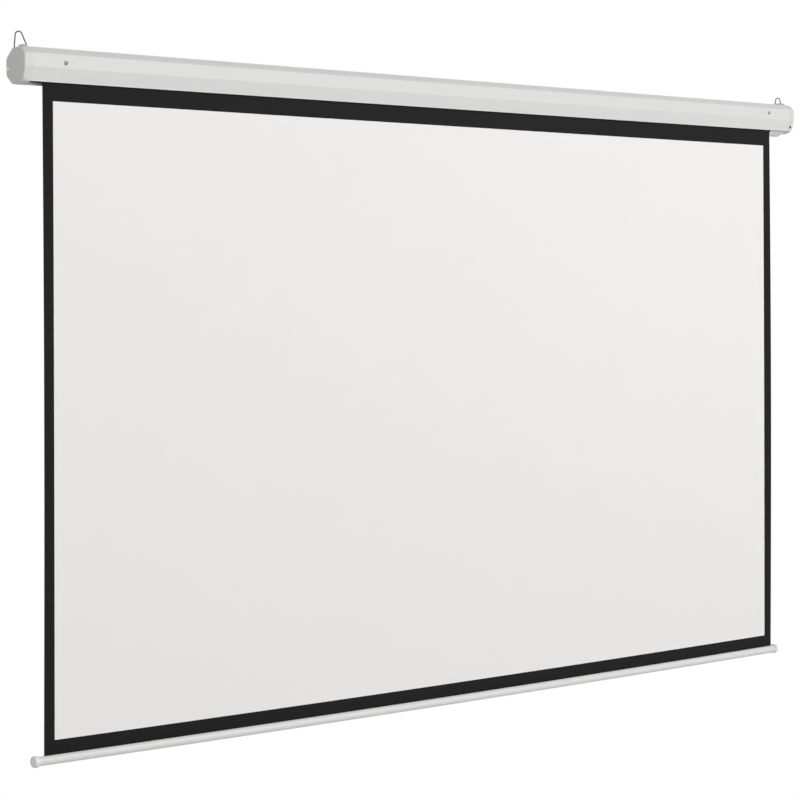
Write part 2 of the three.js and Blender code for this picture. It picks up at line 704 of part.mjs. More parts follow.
// A closed wire bent to a tall triangle with a round top, in the X-Z plane, its base at z = 0.
function makeLoop() {
  const foot = LOOP_FOOT_WIDTH / 2;
  const peak = foot / Math.tan(LOOP_LEG_LEAN);
  const topRadius = (peak - LOOP_HEIGHT) / (1 / Math.sin(LOOP_LEG_LEAN) - 1);
  const path = roundedLoop(
    [V2(-foot, 0), V2(0, peak), V2(foot, 0)],
    [LOOP_FOOT_RADIUS, topRadius, LOOP_FOOT_RADIUS],
    LOOP_PATH_STEPS,
  );
  const count = path.length;
  const positions = [];
  const index = [];
  path.forEach((point, i) => {
    const along = path[(i + 1) % count].clone().sub(path[(i + count - 1) % count]).normalize();
    for (let s = 0; s < LOOP_SIDES; s++) {
      const angle = (2 * Math.PI * s) / LOOP_SIDES;
      const across = (LOOP_WIRE / 2) * Math.cos(angle);
      const deep = (LOOP_WIRE / 2) * Math.sin(angle);
      positions.push(point.x - along.y * across, deep, point.y + along.x * across);
      const [a, b] = [i * LOOP_SIDES + s, i * LOOP_SIDES + ((s + 1) % LOOP_SIDES)];
      const ahead = (vertex) => (vertex + LOOP_SIDES) % (count * LOOP_SIDES);
      index.push(a, b, ahead(a), b, ahead(b), ahead(a));
    }
  });
  const geometry = new THREE.BufferGeometry();
  geometry.setAttribute("position", new THREE.Float32BufferAttribute(positions, 3));
  geometry.setIndex(index);
  return solidOf(geometry);
}

function makeRollerTube() {
  return sleeve(tubeBore, ROLLER_RADIUS, tubeLeft, tubeRight, axisY, 0);
}

function makeIdlerPlug() {
  const bore = PIN_RADIUS + HOLE_CLEARANCE + BUSH_WALL + GAP;
  const outer = tubeBore - GAP;
  const collar = tubeLeft - GAP;
  const profile = [
    [bore, collar - PLUG_COLLAR],
    [COLLAR_RADIUS, collar - PLUG_COLLAR],
    [COLLAR_RADIUS, collar],
    [outer, collar],
    [outer, collar + PLUG_LENGTH],
    [bore, collar + PLUG_LENGTH],
    [bore, collar - PLUG_COLLAR],
  ];
  return turned(profile, axisY, 0);
}

function makeIdlerBush() {
  const inner = PIN_RADIUS + HOLE_CLEARANCE;
  const from = tubeLeft - GAP - PLUG_COLLAR;
  const outer = inner + BUSH_WALL;
  return sleeve(inner, outer, from, from + BUSH_LENGTH, axisY, 0, SMALL_ROUND_SIDES);
}

function makeIdlerPin() {
  const flange = -plateInner + GAP;
  const tip = tubeLeft + BUSH_LENGTH;
  const head = -plateOuter - GAP;
  const profile = [
    [0, tip],
    [PIN_RADIUS, tip],
    [PIN_RADIUS, flange + PIN_FLANGE],
    [PIN_FLANGE_RADIUS, flange + PIN_FLANGE],
    [PIN_FLANGE_RADIUS, flange],
    [PIN_STUB_RADIUS, flange],
    [PIN_STUB_RADIUS, head],
    [PIN_STUB_HEAD, head],
    [PIN_STUB_HEAD, head - PIN_STUB_HEAD_THICKNESS],
    [0, head - PIN_STUB_HEAD_THICKNESS],
  ];
  return turned(profile, axisY, 0, SMALL_ROUND_SIDES);
}

const headFront = tubeRight + GAP + PLUG_COLLAR + GAP;
const headBack = plateInner - GAP;
const motorOuterEnd = headFront - GAP;
const motorInnerEnd = motorOuterEnd - MOTOR_LENGTH;

function makeMotorHead() {
  const profile = [
    [0, headFront],
    [HEAD_RADIUS - HEAD_EDGE, headFront],
    [HEAD_RADIUS, headFront + HEAD_EDGE],
    [HEAD_RADIUS, headBack - HEAD_EDGE],
    [HEAD_RADIUS - HEAD_EDGE, headBack],
    [0, headBack],
  ];
  const bores = limitPlaces().map(([y, z]) => {
    const floor = headBack - LIMIT_SCREW_LENGTH - GAP;
    return rod(LIMIT_SCREW_RADIUS + GAP, floor, headBack + OVERRUN, y, z, SMALL_ROUND_SIDES);
  });
  const screwBores = headScrewPlaces().map(([y, z]) =>
    screwHole(HEAD_SCREW, plateOuter - HEAD_SCREW.length, headBack + OVERRUN, y, z),
  );
  return cut(turned(profile, axisY, 0), ...bores, ...screwBores);
}

function makeLimitScrew([y, z]) {
  const from = headBack - LIMIT_SCREW_LENGTH;
  const socket = from + LIMIT_SCREW_LENGTH / 2;
  const body = rod(LIMIT_SCREW_RADIUS, from, headBack, y, z, SMALL_ROUND_SIDES);
  return cut(body, rod(LIMIT_SCREW_HEX, socket, headBack + OVERRUN, y, z, HEX_SIDES));
}

function makeMotorTube() {
  return sleeve(MOTOR_RADIUS - MOTOR_WALL, MOTOR_RADIUS, motorInnerEnd, motorOuterEnd, axisY, 0);
}

// The sealed units in the motor's tube, in order from the gearbox to the head.
const innerRadius = MOTOR_RADIUS - MOTOR_WALL - GAP;
const statorFrom = motorInnerEnd + GEARBOX_LENGTH + GAP;
const capacitorFrom = motorOuterEnd - WIRING_ROOM - CAPACITOR_LENGTH;
const brakeFrom = capacitorFrom - GAP - BRAKE_LENGTH;
const unit = (from, length) => rod(innerRadius, from, from + length, axisY, 0);

function makeGearbox() {
  const flange = motorInnerEnd - GAP;
  const bore = SHAFT_RADIUS + HOLE_CLEARANCE;
  const profile = [
    [0, motorInnerEnd + GEARBOX_LENGTH],
    [innerRadius, motorInnerEnd + GEARBOX_LENGTH],
    [innerRadius, flange],
    [MOTOR_RADIUS, flange],
    [MOTOR_RADIUS, flange - GEARBOX_FLANGE],
    [bore, flange - GEARBOX_FLANGE],
    [bore, flange],
    [0, flange],
  ];
  return turned(profile, axisY, 0);
}

const shaftBack = motorInnerEnd - 2 * GAP;
const shaftTip = shaftBack - SHAFT_LENGTH;

function makeShaft() {
  return rod(SHAFT_RADIUS, shaftBack + GAP, shaftTip, axisY, 0, SMALL_ROUND_SIDES);
}

const wheelRight = shaftBack - GEARBOX_FLANGE;

function makeDriveWheel() {
  const outer = tubeBore - GAP;
  const inner = SHAFT_RADIUS + HOLE_CLEARANCE;
  const from = wheelRight - DRIVE_WHEEL_LENGTH;
  let wheel = sleeve(inner, outer, from, wheelRight, axisY, 0);
  for (let i = 0; i < DRIVE_WHEEL_LOBES; i++) {
    const angle = (2 * Math.PI * i) / DRIVE_WHEEL_LOBES;
    const y = axisY + outer * Math.cos(angle);
    const z = outer * Math.sin(angle);
    const past = [from - OVERRUN, wheelRight + OVERRUN];
    wheel = cut(wheel, rod(DRIVE_WHEEL_GROOVE, ...past, y, z, SMALL_ROUND_SIDES));
  }
  return wheel;
}

function makeCrown() {
  const inner = MOTOR_RADIUS + HOLE_CLEARANCE;
  const outer = tubeBore - GAP;
  const face = tubeRight + GAP;
  const profile = [
    [inner, tubeRight - CROWN_LENGTH],
    [outer, tubeRight - CROWN_LENGTH],
    [outer, face],
    [COLLAR_RADIUS, face],
    [COLLAR_RADIUS, face + PLUG_COLLAR],
    [inner, face + PLUG_COLLAR],
    [inner, tubeRight - CROWN_LENGTH],
  ];
  return turned(profile, axisY, 0);
}

function makeGland() {
  const seat = end - SEAT_DEPTH + GAP;
  const profile = [
    [GLAND_BORE, seat - GLAND_REACH],
    [GLAND_RADIUS, seat - GLAND_REACH],
    [GLAND_RADIUS, seat],
    [GLAND_FLANGE_RADIUS, seat],
    [GLAND_FLANGE_RADIUS, seat + GLAND_FLANGE],
    [GLAND_NOSE_RADIUS, seat + GLAND_FLANGE],
    [GLAND_BORE + GAP, seat + GLAND_FLANGE + GLAND_NOSE],
    [GLAND_BORE, seat + GLAND_FLANGE + GLAND_NOSE],
    [GLAND_BORE, seat - GLAND_REACH],
  ];
  return turned(profile, axisY, -GLAND_DROP, SMALL_ROUND_SIDES);
}

function makeGlandNut() {
  const face = end - CAP_END_WALL - CAP_CROWN - GAP;
  const blank = rod(GLAND_NUT_RADIUS, face - GLAND_NUT, face, axisY, -GLAND_DROP, HEX_SIDES);
  const past = [face - GLAND_NUT - OVERRUN, face + OVERRUN];
  return cut(blank, rod(GLAND_RADIUS + GAP, ...past, axisY, -GLAND_DROP));
}

// How far the weight bar has sagged at x, and everything on it with it.
function sagAt(x) {
  const share = (x - barMiddle) / (barRight - barMiddle);
  return BAR_SAG * (1 - share * share);
}

function sagged(geometry) {
  const at = geometry.attributes.position;
  for (let i = 0; i < at.count; i++) at.setZ(i, at.getZ(i) - sagAt(at.getX(i)));
  return geometry;
}

const circle = (radius, z, from, to, sides) =>
  Array.from({ length: sides + 1 }, (_, i) => {
    const angle = from + ((to - from) * i) / sides;
    return V2(fabricY + radius * Math.cos(angle), z + radius * Math.sin(angle));
  });

// The bar hangs by the lips of its slit on the hem, which is doubled round a rod.
const barInner = BAR_RADIUS - BAR_WALL;
const hemEye = ROD_RADIUS + GAP;
const hemOuter = hemEye + FABRIC_THICKNESS;
const lipHeight = Math.sqrt(barInner ** 2 - (BAR_SLIT / 2) ** 2);
const hemZ = barZ + lipHeight - Math.sqrt((hemOuter + GAP) ** 2 - (BAR_SLIT / 2) ** 2);

function makeWeightBar() {
  const quarter = Math.PI / 2;
  const turn = 2 * Math.PI;
  const outside = Math.asin(BAR_SLIT / 2 / BAR_RADIUS);
  const inside = Math.asin(BAR_SLIT / 2 / barInner);
  const outline = [
    ...circle(BAR_RADIUS, barZ, quarter + outside, quarter + turn - outside, BAR_SIDES),
    ...circle(barInner, barZ, quarter + turn - inside, quarter + inside, BAR_SIDES),
  ];
  const from = barLeft + BAR_CAP_END + GAP;
  const to = barRight - BAR_CAP_END - GAP;
  return solidOf(sagged(drawnOut(outline, from, to, BAR_STEPS)));
}

function makeBarCap(side) {
  const tip = side < 0 ? barLeft : barRight;
  const floor = tip - side * BAR_CAP_END;
  const mouth = tip - side * BAR_CAP_LENGTH;
  const bore = BAR_RADIUS + GAP;
  const z = barZ - sagAt(mouth);
  const dome = Array.from({ length: ARC_STEPS + 1 }, (_, i) => {
    const angle = ((Math.PI / 2) * i) / ARC_STEPS;
    const inset = BAR_CAP_EDGE * (1 - Math.sin(angle));
    const back = BAR_CAP_EDGE * (1 - Math.cos(angle));
    return [BAR_CAP_RADIUS - inset, tip - side * back];
  });
  const profile = [[0, tip], ...dome, [BAR_CAP_RADIUS, mouth], [bore, mouth], [bore, floor]];
  profile.push([0, floor]);
  return turned(profile, fabricY, z);
}

// The hem: the bottom border of the fabric, with the rod in its eye.
function makeHem() {
  const half = FABRIC_THICKNESS / 2;
  const stem = Math.asin(half / hemOuter);
  const start = Math.PI / 2 + stem;
  const ring = circle(hemOuter, hemZ, start, start + 2 * (Math.PI - stem), HEM_SIDES);
  const hemTop = pictureBottom - GAP;
  const outline = [...ring, V2(fabricY + half, hemTop), V2(fabricY - half, hemTop)];
  const hole = circle(hemEye, hemZ, 0, 2 * Math.PI, HEM_SIDES).slice(0, -1);
  const strip = drawnOut(outline, fabricLeft, fabricRight, BAR_STEPS, [hole]);
  return solidOf(sagged(strip));
}

function makeHemRod() {
  const outline = circle(ROD_RADIUS, hemZ, 0, 2 * Math.PI, HEM_SIDES).slice(0, -1);
  const from = barLeft + BAR_CAP_LENGTH;
  const to = barRight - BAR_CAP_LENGTH;
  return solidOf(sagged(drawnOut(outline, from, to, BAR_STEPS)));
}

// The hanging sheet from the roller to the bottom border. Its free edges curl to the front,
// most at mid-height, and its foot follows the bar's sag.
function makeSheet() {
  const point = (column, row, half) => {
    const across = (1 - Math.cos((Math.PI * column) / SHEET_COLUMNS)) / 2;
    const down = row / SHEET_ROWS;
    const x = fabricLeft + fabricWidth * across;
    const fromEdge = Math.min(x - fabricLeft, fabricRight - x);
    const edge = Math.max(0, 1 - fromEdge / EDGE_CURL_WIDTH);
    const curl = EDGE_CURL * edge * edge * Math.sin(Math.PI * down);
    return new THREE.Vector3(x, fabricY - curl + half, (pictureBottom - sagAt(x)) * down);
  };
  const loopOf = (row) => {
    const there = [];
    const back = [];
    for (let column = 0; column <= SHEET_COLUMNS; column++) {
      there.push(point(column, row, -FABRIC_THICKNESS / 2));
      back.push(point(SHEET_COLUMNS - column, row, FABRIC_THICKNESS / 2));
    }
    return [...there, ...back];
  };
  return sheetLoft(Array.from({ length: SHEET_ROWS + 1 }, (_, row) => loopOf(row)));
}

// A loft whose rings are thin strips, closed at both ends by a ladder of quads.
function sheetLoft(rings) {
  const count = rings[0].length;
  const positions = rings.flat().flatMap((point) => point.toArray());
  const index = [];
  for (let r = 0; r + 1 < rings.length; r++) {
    for (let i = 0; i < count; i++) {
      const [a, b] = [r * count + i, r * count + ((i + 1) % count)];
      index.push(a, a + count, b, b, a + count, b + count);
    }
  }
  const last = (rings.length - 1) * count;
  for (let i = 0; i + 1 < count / 2; i++) {
    const [a, b, c, d] = [i, i + 1, count - 2 - i, count - 1 - i];
    index.push(a, b, d, b, c, d);
    index.push(last + a, last + d, last + b, last + b, last + d, last + c);
  }
  const geometry = new THREE.BufferGeometry();
  geometry.setAttribute("position", new THREE.Float32BufferAttribute(positions, 3));
  geometry.setIndex(index);
  return solidOf(geometry);
}

// Case, caps, brackets and their screws
place(model, "case_shell", makeCase(), ...powderCoat);
place(model, "left_end_cap", makeCap(-1), ...mouldedWhite);
place(model, "right_end_cap", makeMotorCap(), ...mouldedWhite);
place(model, "left_bracket", makeIdlerBracket(), ...creamPaint);
place(model, "right_bracket", makeMotorBracket(), ...creamPaint);

for (const [name, side] of [["left", -1], ["right", 1]]) {
  const caseScrew = place(model, name + "_case_screw", panScrew(CASE_SCREW), ...brightSteel);
  caseScrew.position.set(caseScrewX(side), front - GAP, caseScrewZ(side));
  const capScrew = place(model, name + "_cap_screw", panScrew(CAP_SCREW), ...brightSteel);
  capScrew.rotation.z = (side * Math.PI) / 2;
  capScrew.position.set(side * (end - SEAT_DEPTH + GAP), -CAP_SCREW_FROM_BACK, CAP_SCREW_Z);
}

const skirt = new THREE.Group();
skirt.rotation.x = skirtAngle;
skirt.position.set(0, front, ridge);
model.add(skirt);
const sideScrew = place(skirt, "right_cap_side_screw", panScrew(SIDE_SCREW), ...darkWire);
sideScrew.position.set(end - SIDE_SCREW_FROM_END, -GAP, -SIDE_SCREW_DOWN_SKIRT);

// Hanging loops: the left one is drawn up, the right one rests at the foot of its slot
const leftLoop = place(model, "left_hanging_loop", makeLoop(), ...darkWire);
leftLoop.rotation.set(0, -LEFT_LOOP_TILT, -LOOP_TURN, "ZYX");
leftLoop.position.set(-plateMiddle - LEFT_LOOP_SHIFT, loopY, loopRaisedZ);
const rightLoop = place(model, "right_hanging_loop", makeLoop(), ...darkWire);
rightLoop.rotation.set(0, -RIGHT_LOOP_TILT, -LOOP_TURN, "ZYX");
rightLoop.position.set(plateMiddle, loopY, loopLoweredZ);

// Roller
place(model, "roller_tube", makeRollerTube(), ...aluminium);
place(model, "idler_plug", makeIdlerPlug(), ...blackPlastic);
place(model, "idler_bush", makeIdlerBush(), ...brassTone);
place(model, "idler_pin", makeIdlerPin(), ...brightSteel);
place(model, "drive_wheel", makeDriveWheel(), ...blackPlastic);
place(model, "crown_wheel", makeCrown(), ...blackPlastic);

// Motor
place(model, "motor_head", makeMotorHead(), ...blackPlastic);
place(model, "motor_tube", makeMotorTube(), ...zincPlate);
place(model, "motor_gearbox", makeGearbox(), ...greyPlastic);
place(model, "motor_stator", unit(statorFrom, brakeFrom - GAP - statorFrom), ...brightSteel);
place(model, "motor_brake", unit(brakeFrom, BRAKE_LENGTH), ...greyPlastic);
place(model, "motor_capacitor", unit(capacitorFrom, CAPACITOR_LENGTH), ...greyPlastic);
place(model, "motor_shaft", makeShaft(), ...brightSteel);
["up", "down"].forEach((name, i) => {
  const [y, z] = limitPlaces()[i];
  place(model, name + "_limit_screw", makeLimitScrew([y, z]), ...brassTone);
});
["front", "rear"].forEach((name, i) => {
  const [y, z] = headScrewPlaces()[i];
  const screw = place(model, "head_screw_" + name, panScrew(HEAD_SCREW), ...brightSteel);
  screw.rotation.z = Math.PI / 2;
  screw.position.set(plateOuter + GAP, y, z);
});
place(model, "cable_gland", makeGland(), ...blackPlastic);
place(model, "cable_gland_nut", makeGlandNut(), ...blackPlastic);

// Fabric and weight bar
const wraps = sleeve(wrapInner, wrapOuter, fabricLeft, fabricRight, axisY, 0);
place(model, "fabric_wraps", wraps, ...whiteCloth);
place(model, "screen_fabric", makeSheet(), ...whiteCloth);
place(model, "screen_hem", makeHem(), ...blackCloth);
place(model, "hem_rod", makeHemRod(), ...brightSteel);
place(model, "weight_bar", makeWeightBar(), ...powderCoat);
place(model, "left_bar_cap", makeBarCap(-1), ...mouldedWhite);
place(model, "right_bar_cap", makeBarCap(1), ...mouldedWhite);

export default model;
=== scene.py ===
# %% [markdown]
# # A motorised projector screen, lowered
# A white steel case hangs by a wire loop at each end. Inside it a motor turns a roller, and the
# bordered screen comes down from the front of the roller through a slot, stretched by a weight bar.
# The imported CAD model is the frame: it says where each piece is and how it moves. This script
# dresses it, one piece at a time, and every piece stays where its CAD node is.

# %% Load the frame
import math

import bmesh
import bpy
from mathutils import Matrix, Vector


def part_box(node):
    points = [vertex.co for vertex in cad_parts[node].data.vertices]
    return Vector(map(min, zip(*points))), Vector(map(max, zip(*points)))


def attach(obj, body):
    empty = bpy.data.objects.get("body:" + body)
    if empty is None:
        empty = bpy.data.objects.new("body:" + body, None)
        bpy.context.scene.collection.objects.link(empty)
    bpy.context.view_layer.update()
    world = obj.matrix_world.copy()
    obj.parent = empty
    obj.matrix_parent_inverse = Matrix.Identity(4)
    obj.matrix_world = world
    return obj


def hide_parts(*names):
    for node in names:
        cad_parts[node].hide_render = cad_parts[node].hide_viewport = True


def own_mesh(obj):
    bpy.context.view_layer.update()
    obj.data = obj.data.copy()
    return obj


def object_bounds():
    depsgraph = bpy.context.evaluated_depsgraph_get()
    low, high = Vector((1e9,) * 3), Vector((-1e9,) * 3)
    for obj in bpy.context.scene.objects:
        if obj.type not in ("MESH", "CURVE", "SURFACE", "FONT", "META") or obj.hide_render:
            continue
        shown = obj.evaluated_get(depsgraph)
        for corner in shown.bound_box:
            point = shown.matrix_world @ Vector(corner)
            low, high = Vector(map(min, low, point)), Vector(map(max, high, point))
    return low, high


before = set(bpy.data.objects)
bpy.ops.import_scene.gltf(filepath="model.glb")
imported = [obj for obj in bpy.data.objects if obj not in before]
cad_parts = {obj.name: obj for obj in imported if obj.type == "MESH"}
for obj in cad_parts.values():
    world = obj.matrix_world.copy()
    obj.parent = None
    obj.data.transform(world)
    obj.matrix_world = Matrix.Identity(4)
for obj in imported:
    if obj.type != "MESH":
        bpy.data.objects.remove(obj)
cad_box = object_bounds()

MM = 0.001
print("CAD box", cad_box)

# %% [markdown]
# ## The camera
# The picture area of the screen is a true rectangle, so its four corners fix the camera: where it
# stood, which way it looked and how long its lens was. It stood to the left, level, a little under
# the middle of the screen. The frame is shifted down instead of tilted, as in a shift lens, which
# keeps the uprights parallel.

# %% Camera
CAMERA_PLACE = Vector((-4.16995, -4.1989, -0.4448))
CAMERA_YAW = math.radians(43.847)
CAMERA_ROLL = math.radians(0.165)
LENS = 117.72
SENSOR = 36.0
FRAME_SHIFT = -0.1313


def linked(name, data):
    """A new object in the scene."""
    thing = bpy.data.objects.new(name, data)
    bpy.context.scene.collection.objects.link(thing)
    return thing


camera_data = bpy.data.cameras.new("camera")
camera_data.lens = LENS
camera_data.sensor_width = SENSOR
camera_data.shift_y = FRAME_SHIFT
camera_data.clip_end = 100.0
camera = linked("camera", camera_data)
camera.location = CAMERA_PLACE
camera.rotation_euler = (math.pi / 2, CAMERA_ROLL, -CAMERA_YAW)
bpy.context.scene.camera = camera
bpy.context.scene.view_settings.view_transform = "Standard"
away = (camera.location - Vector(cad_box[0])).length
print("camera", round(away, 2), "m from the lower left corner")

# %% [markdown]
# ## Nodes in one line each
# Geometry and shader trees are built the same way: a node, its settings, and what goes into its
# inputs. One small function does all three. Colours are written as the hex values of a paint card
# and turned to the linear values that the renderer works in.

# %% Helpers for trees and colours
def add(tree, kind, inputs=(), **settings):
    """Adds a node. An input takes a value, a socket or a node, which gives its first output."""
    node = tree.nodes.new(kind)
    for name, value in settings.items():
        setattr(node, name, value)
    for key, value in dict(inputs).items():
        if isinstance(value, bpy.types.Node):
            value = value.outputs[0]
        if isinstance(value, bpy.types.NodeSocket):
            tree.links.new(value, node.inputs[key])
        else:
            node.inputs[key].default_value = value
    return node


def linear(hex_colour):
    """The linear colour of an sRGB hex value such as #e2e2e0."""
    channels = [int(hex_colour[i : i + 2], 16) / 255 for i in (1, 3, 5)]
    bright = [c / 12.92 if c <= 0.04045 else ((c + 0.055) / 1.055) ** 2.4 for c in channels]
    return (*bright, 1.0)


# %% [markdown]
# ## Light
# In the photograph, faces that look to the front are about twice as bright as the end of the left
# cap and four times as bright as what looks down, and the screen is a little lighter on the right.
# Two large soft lamps give that, one well to the left and one to the right, somewhat above the
# case. A grey world fills the shadows. It is lighter behind the object, where the white backdrop
# would be, which lifts the rear of the caps. The camera sees it white, and so do metal and gloss.

# %% World and lamps
WORLD_LIGHT = 0.165
BACKDROP_LIGHT = 0.65
WHITE = (1.0, 1.0, 1.0, 1.0)
LAMP_SIZE = (2.6, 2.4)
LAMP_AIM = Vector((0.2, 0.0, -0.5))
lamps = {
    "left_lamp": (Vector((-4.6, -4.6, 1.4)), 132.0),
    "right_lamp": (Vector((2.6, -5.2, 1.5)), 190.0),
}


def looking_rays(tree):
    """One for the rays that show a background: the camera's, a reflection's and glass's."""
    path = add(tree, "ShaderNodeLightPath")
    seen = path.outputs["Is Camera Ray"]
    for ray in ("Is Glossy Ray", "Is Transmission Ray"):
        seen = add(tree, "ShaderNodeMath", {0: seen, 1: path.outputs[ray]}, operation="MAXIMUM")
    return seen


def build_world():
    world = bpy.data.worlds.new("studio")
    world.use_nodes = True
    tree = world.node_tree
    tree.nodes.clear()
    way = add(tree, "ShaderNodeTexCoord")
    axes = add(tree, "ShaderNodeSeparateXYZ", {0: way.outputs["Generated"]})
    behind = add(
        tree,
        "ShaderNodeMapRange",
        {"Value": axes.outputs["Y"], "To Min": WORLD_LIGHT, "To Max": BACKDROP_LIGHT},
        interpolation_type="SMOOTHSTEP",
    )
    light = add(tree, "ShaderNodeBackground", {"Color": WHITE, "Strength": behind})
    white = add(tree, "ShaderNodeBackground", {"Color": WHITE, "Strength": 1.0})
    mix = add(tree, "ShaderNodeMixShader", {0: looking_rays(tree), 1: light, 2: white})
    add(tree, "ShaderNodeOutputWorld", {"Surface": mix})
    bpy.context.scene.world = world


build_world()
for name, (place, power) in lamps.items():
    data = bpy.data.lights.new(name, "AREA")
    data.shape = "RECTANGLE"
    data.size, data.size_y = LAMP_SIZE
    data.energy = power
    lamp = linked(name, data)
    lamp.location = place
    lamp.rotation_euler = (LAMP_AIM - place).to_track_quat("-Z", "Y").to_euler()
print("lamps", *lamps)

# %% [markdown]
# ## Floor
# The screen hangs on a wall, well above the floor, so the floor is only a pale plane far below. For
# the camera, and in reflections, it glows a little, enough to match the white around it, and still
# keeps the shadow of the object. Further out it fades into the white of the world.

# %% Floor
FLOOR_HEIGHT = -2.35
FLOOR_HALF = 30.0
FLOOR_CLEAR = 2.2
FLOOR_FADED = 4.2
FLOOR_GLOW = 0.5


def new_surface(name):
    """A new material and its empty tree."""
    material = bpy.data.materials.new(name)
    material.use_nodes = True
    material.node_tree.nodes.clear()
    return material, material.node_tree


def build_floor():
    material, tree = new_surface("studio_floor_matt_paint")
    seen = looking_rays(tree)
    place = add(tree, "ShaderNodeTexCoord")
    away = add(tree, "ShaderNodeVectorMath", {0: place.outputs["Object"]}, operation="LENGTH")
    fade = add(
        tree,
        "ShaderNodeMapRange",
        {"Value": away.outputs["Value"], "From Min": FLOOR_CLEAR, "From Max": FLOOR_FADED},
        interpolation_type="SMOOTHSTEP",
    )
    far = add(tree, "ShaderNodeMath", {0: fade, 1: seen}, operation="MULTIPLY")
    glow = add(tree, "ShaderNodeMath", {0: seen, 1: FLOOR_GLOW}, operation="MULTIPLY")
    paint = add(tree, "ShaderNodeBsdfDiffuse", {"Color": linear("#d8d8d6")})
    lift = add(tree, "ShaderNodeEmission", {"Color": WHITE, "Strength": glow})
    near = add(tree, "ShaderNodeAddShader", {0: paint, 1: lift})
    white = add(tree, "ShaderNodeEmission", {"Color": WHITE, "Strength": 1.0})
    mix = add(tree, "ShaderNodeMixShader", {0: far, 1: near, 2: white})
    add(tree, "ShaderNodeOutputMaterial", {"Surface": mix})

    mesh = bpy.data.meshes.new("floor")
    corners = [(-1, -1), (1, -1), (1, 1), (-1, 1)]
    points = [(x * FLOOR_HALF, y * FLOOR_HALF, 0) for x, y in corners]
    mesh.from_pydata(points, [], [(0, 1, 2, 3)])
    mesh.materials.append(material)
    floor = linked("floor", mesh)
    floor.location.z = FLOOR_HEIGHT
    return floor


print("floor at", build_floor().location.z)

# %% [markdown]
# ## Paint, plastic and metal
# Most surfaces here are one colour with a fine skin: the pebbled skin of powder coat, the spark
# eroded grain of moulded plastic, the drawing lines of wire and tube. Each is a noise whose scale
# is worked out from its size in millimetres, and it moves the surface by a few hundredths of a
# millimetre through the bump input. The grain is in the object's own coordinates, so it stays on
# the piece when the piece moves.

# %% Skins
CLOUD_MM = 90.0
GLOSS_SPREAD = 0.04
ALONG_CASE = (0.02, 1, 1)


def per_metre(grain_mm):
    """The scale of a noise whose grains are that many millimetres across."""
    return 1.0 / (grain_mm * MM)


def clouded(tree, vector, size_mm, detail, colour, shade):
    """A colour that is darker in some places, in soft clouds."""
    inputs = {"Vector": vector, "Scale": per_metre(size_mm), "Detail": detail}
    ramp = add(tree, "ShaderNodeValToRGB", {"Fac": add(tree, "ShaderNodeTexNoise", inputs)})
    base = linear(colour)
    ramp.color_ramp.elements[0].color = (*(c * (1 - shade) for c in base[:3]), 1.0)
    ramp.color_ramp.elements[1].color = base
    return ramp


def skin(name, colour, roughness, grain_mm, depth_mm, metallic=0.0, stretch=(1, 1, 1), shade=0.04):
    """A material of one colour with a fine grain, a little light and dark, and uneven gloss."""
    material, tree = new_surface(name)
    place = add(tree, "ShaderNodeTexCoord").outputs["Object"]
    stretched = add(tree, "ShaderNodeMapping", {"Vector": place, "Scale": stretch})
    inputs = {"Vector": stretched, "Scale": per_metre(grain_mm), "Detail": 2.0}
    grain = add(tree, "ShaderNodeTexNoise", inputs)
    low, high = roughness - GLOSS_SPREAD, roughness + GLOSS_SPREAD
    surface = add(tree, "ShaderNodeBsdfPrincipled", {
        "Metallic": metallic,
        "Base Color": clouded(tree, stretched, CLOUD_MM, 3.0, colour, shade),
        "Roughness": add(
            tree, "ShaderNodeMapRange", {"Value": grain, "To Min": low, "To Max": high}
        ),
        "Normal": add(tree, "ShaderNodeBump", {"Height": grain, "Distance": depth_mm * MM}),
    })
    add(tree, "ShaderNodeOutputMaterial", {"Surface": surface})
    return material


# Powder coat: polyester baked on steel, half matt, with a soft orange-peel skin.
powder_coat = skin("powder_coated_steel", "#e1e1e0", 0.5, 1.6, 0.03)
# The weight bar comes from another batch of the same coat, a little whiter.
bar_coat = skin("powder_coated_tube", "#eaeae9", 0.48, 1.6, 0.03)
# ABS: satin moulded plastic, a shade greyer than the paint beside it.
moulded_abs = skin("satin_moulded_abs", "#dcdcdb", 0.48, 0.7, 0.02)
# Polypropylene: the caps of the weight bar, whiter than all that is near them.
white_cap = skin("white_moulded_polypropylene", "#f7f7f6", 0.45, 0.7, 0.02)
# Cream paint: the end plates and their ears, a warmer white than the case.
cream_paint = skin("cream_painted_steel", "#f0eee6", 0.5, 1.2, 0.02)
# Zinc plate: pale bluish metal, cloudy, from the plating bath.
zinc_plate = skin("zinc_plated_steel", "#b8babd", 0.36, 2.5, 0.01, 1.0, shade=0.15)
# Bright steel: machined or cold headed, with clear reflections.
bright_steel = skin("bright_machined_steel", "#c9cacc", 0.28, 0.8, 0.008, 1.0, shade=0.1)
# Zinc plate on the case's front screws, darkened all over: painted shade for their cross recess.
zinc_darkened_for_recess_shade = skin("zinc_plated_screw_darkened_for_recess_shade", "#8a8a8a", 0.24, 0.8, 0.006, 1.0, shade=0.1)
# Satin nickel: the screws of the caps, pale and dull.
satin_nickel = skin("satin_nickel_plated_screw", "#e2e2e0", 0.6, 0.8, 0.006, 1.0, shade=0.05)
# Drawn wire: spring steel pulled through a die, which leaves it grey and finely scored.
drawn_wire = skin("drawn_spring_wire", "#505153", 0.4, 0.6, 0.01, 1.0, shade=0.25)
# Extruded aluminium: long die lines along the tube.
extruded_aluminium = skin(
    "extruded_aluminium", "#c6c8ca", 0.34, 0.5, 0.01, 1.0, ALONG_CASE, shade=0.08
)
# Nylon: black or grey moulded fittings of the roller and the motor.
black_nylon = skin("black_moulded_nylon", "#1d1e1f", 0.5, 0.6, 0.02)
grey_nylon = skin("grey_moulded_nylon", "#87898c", 0.55, 0.6, 0.02)
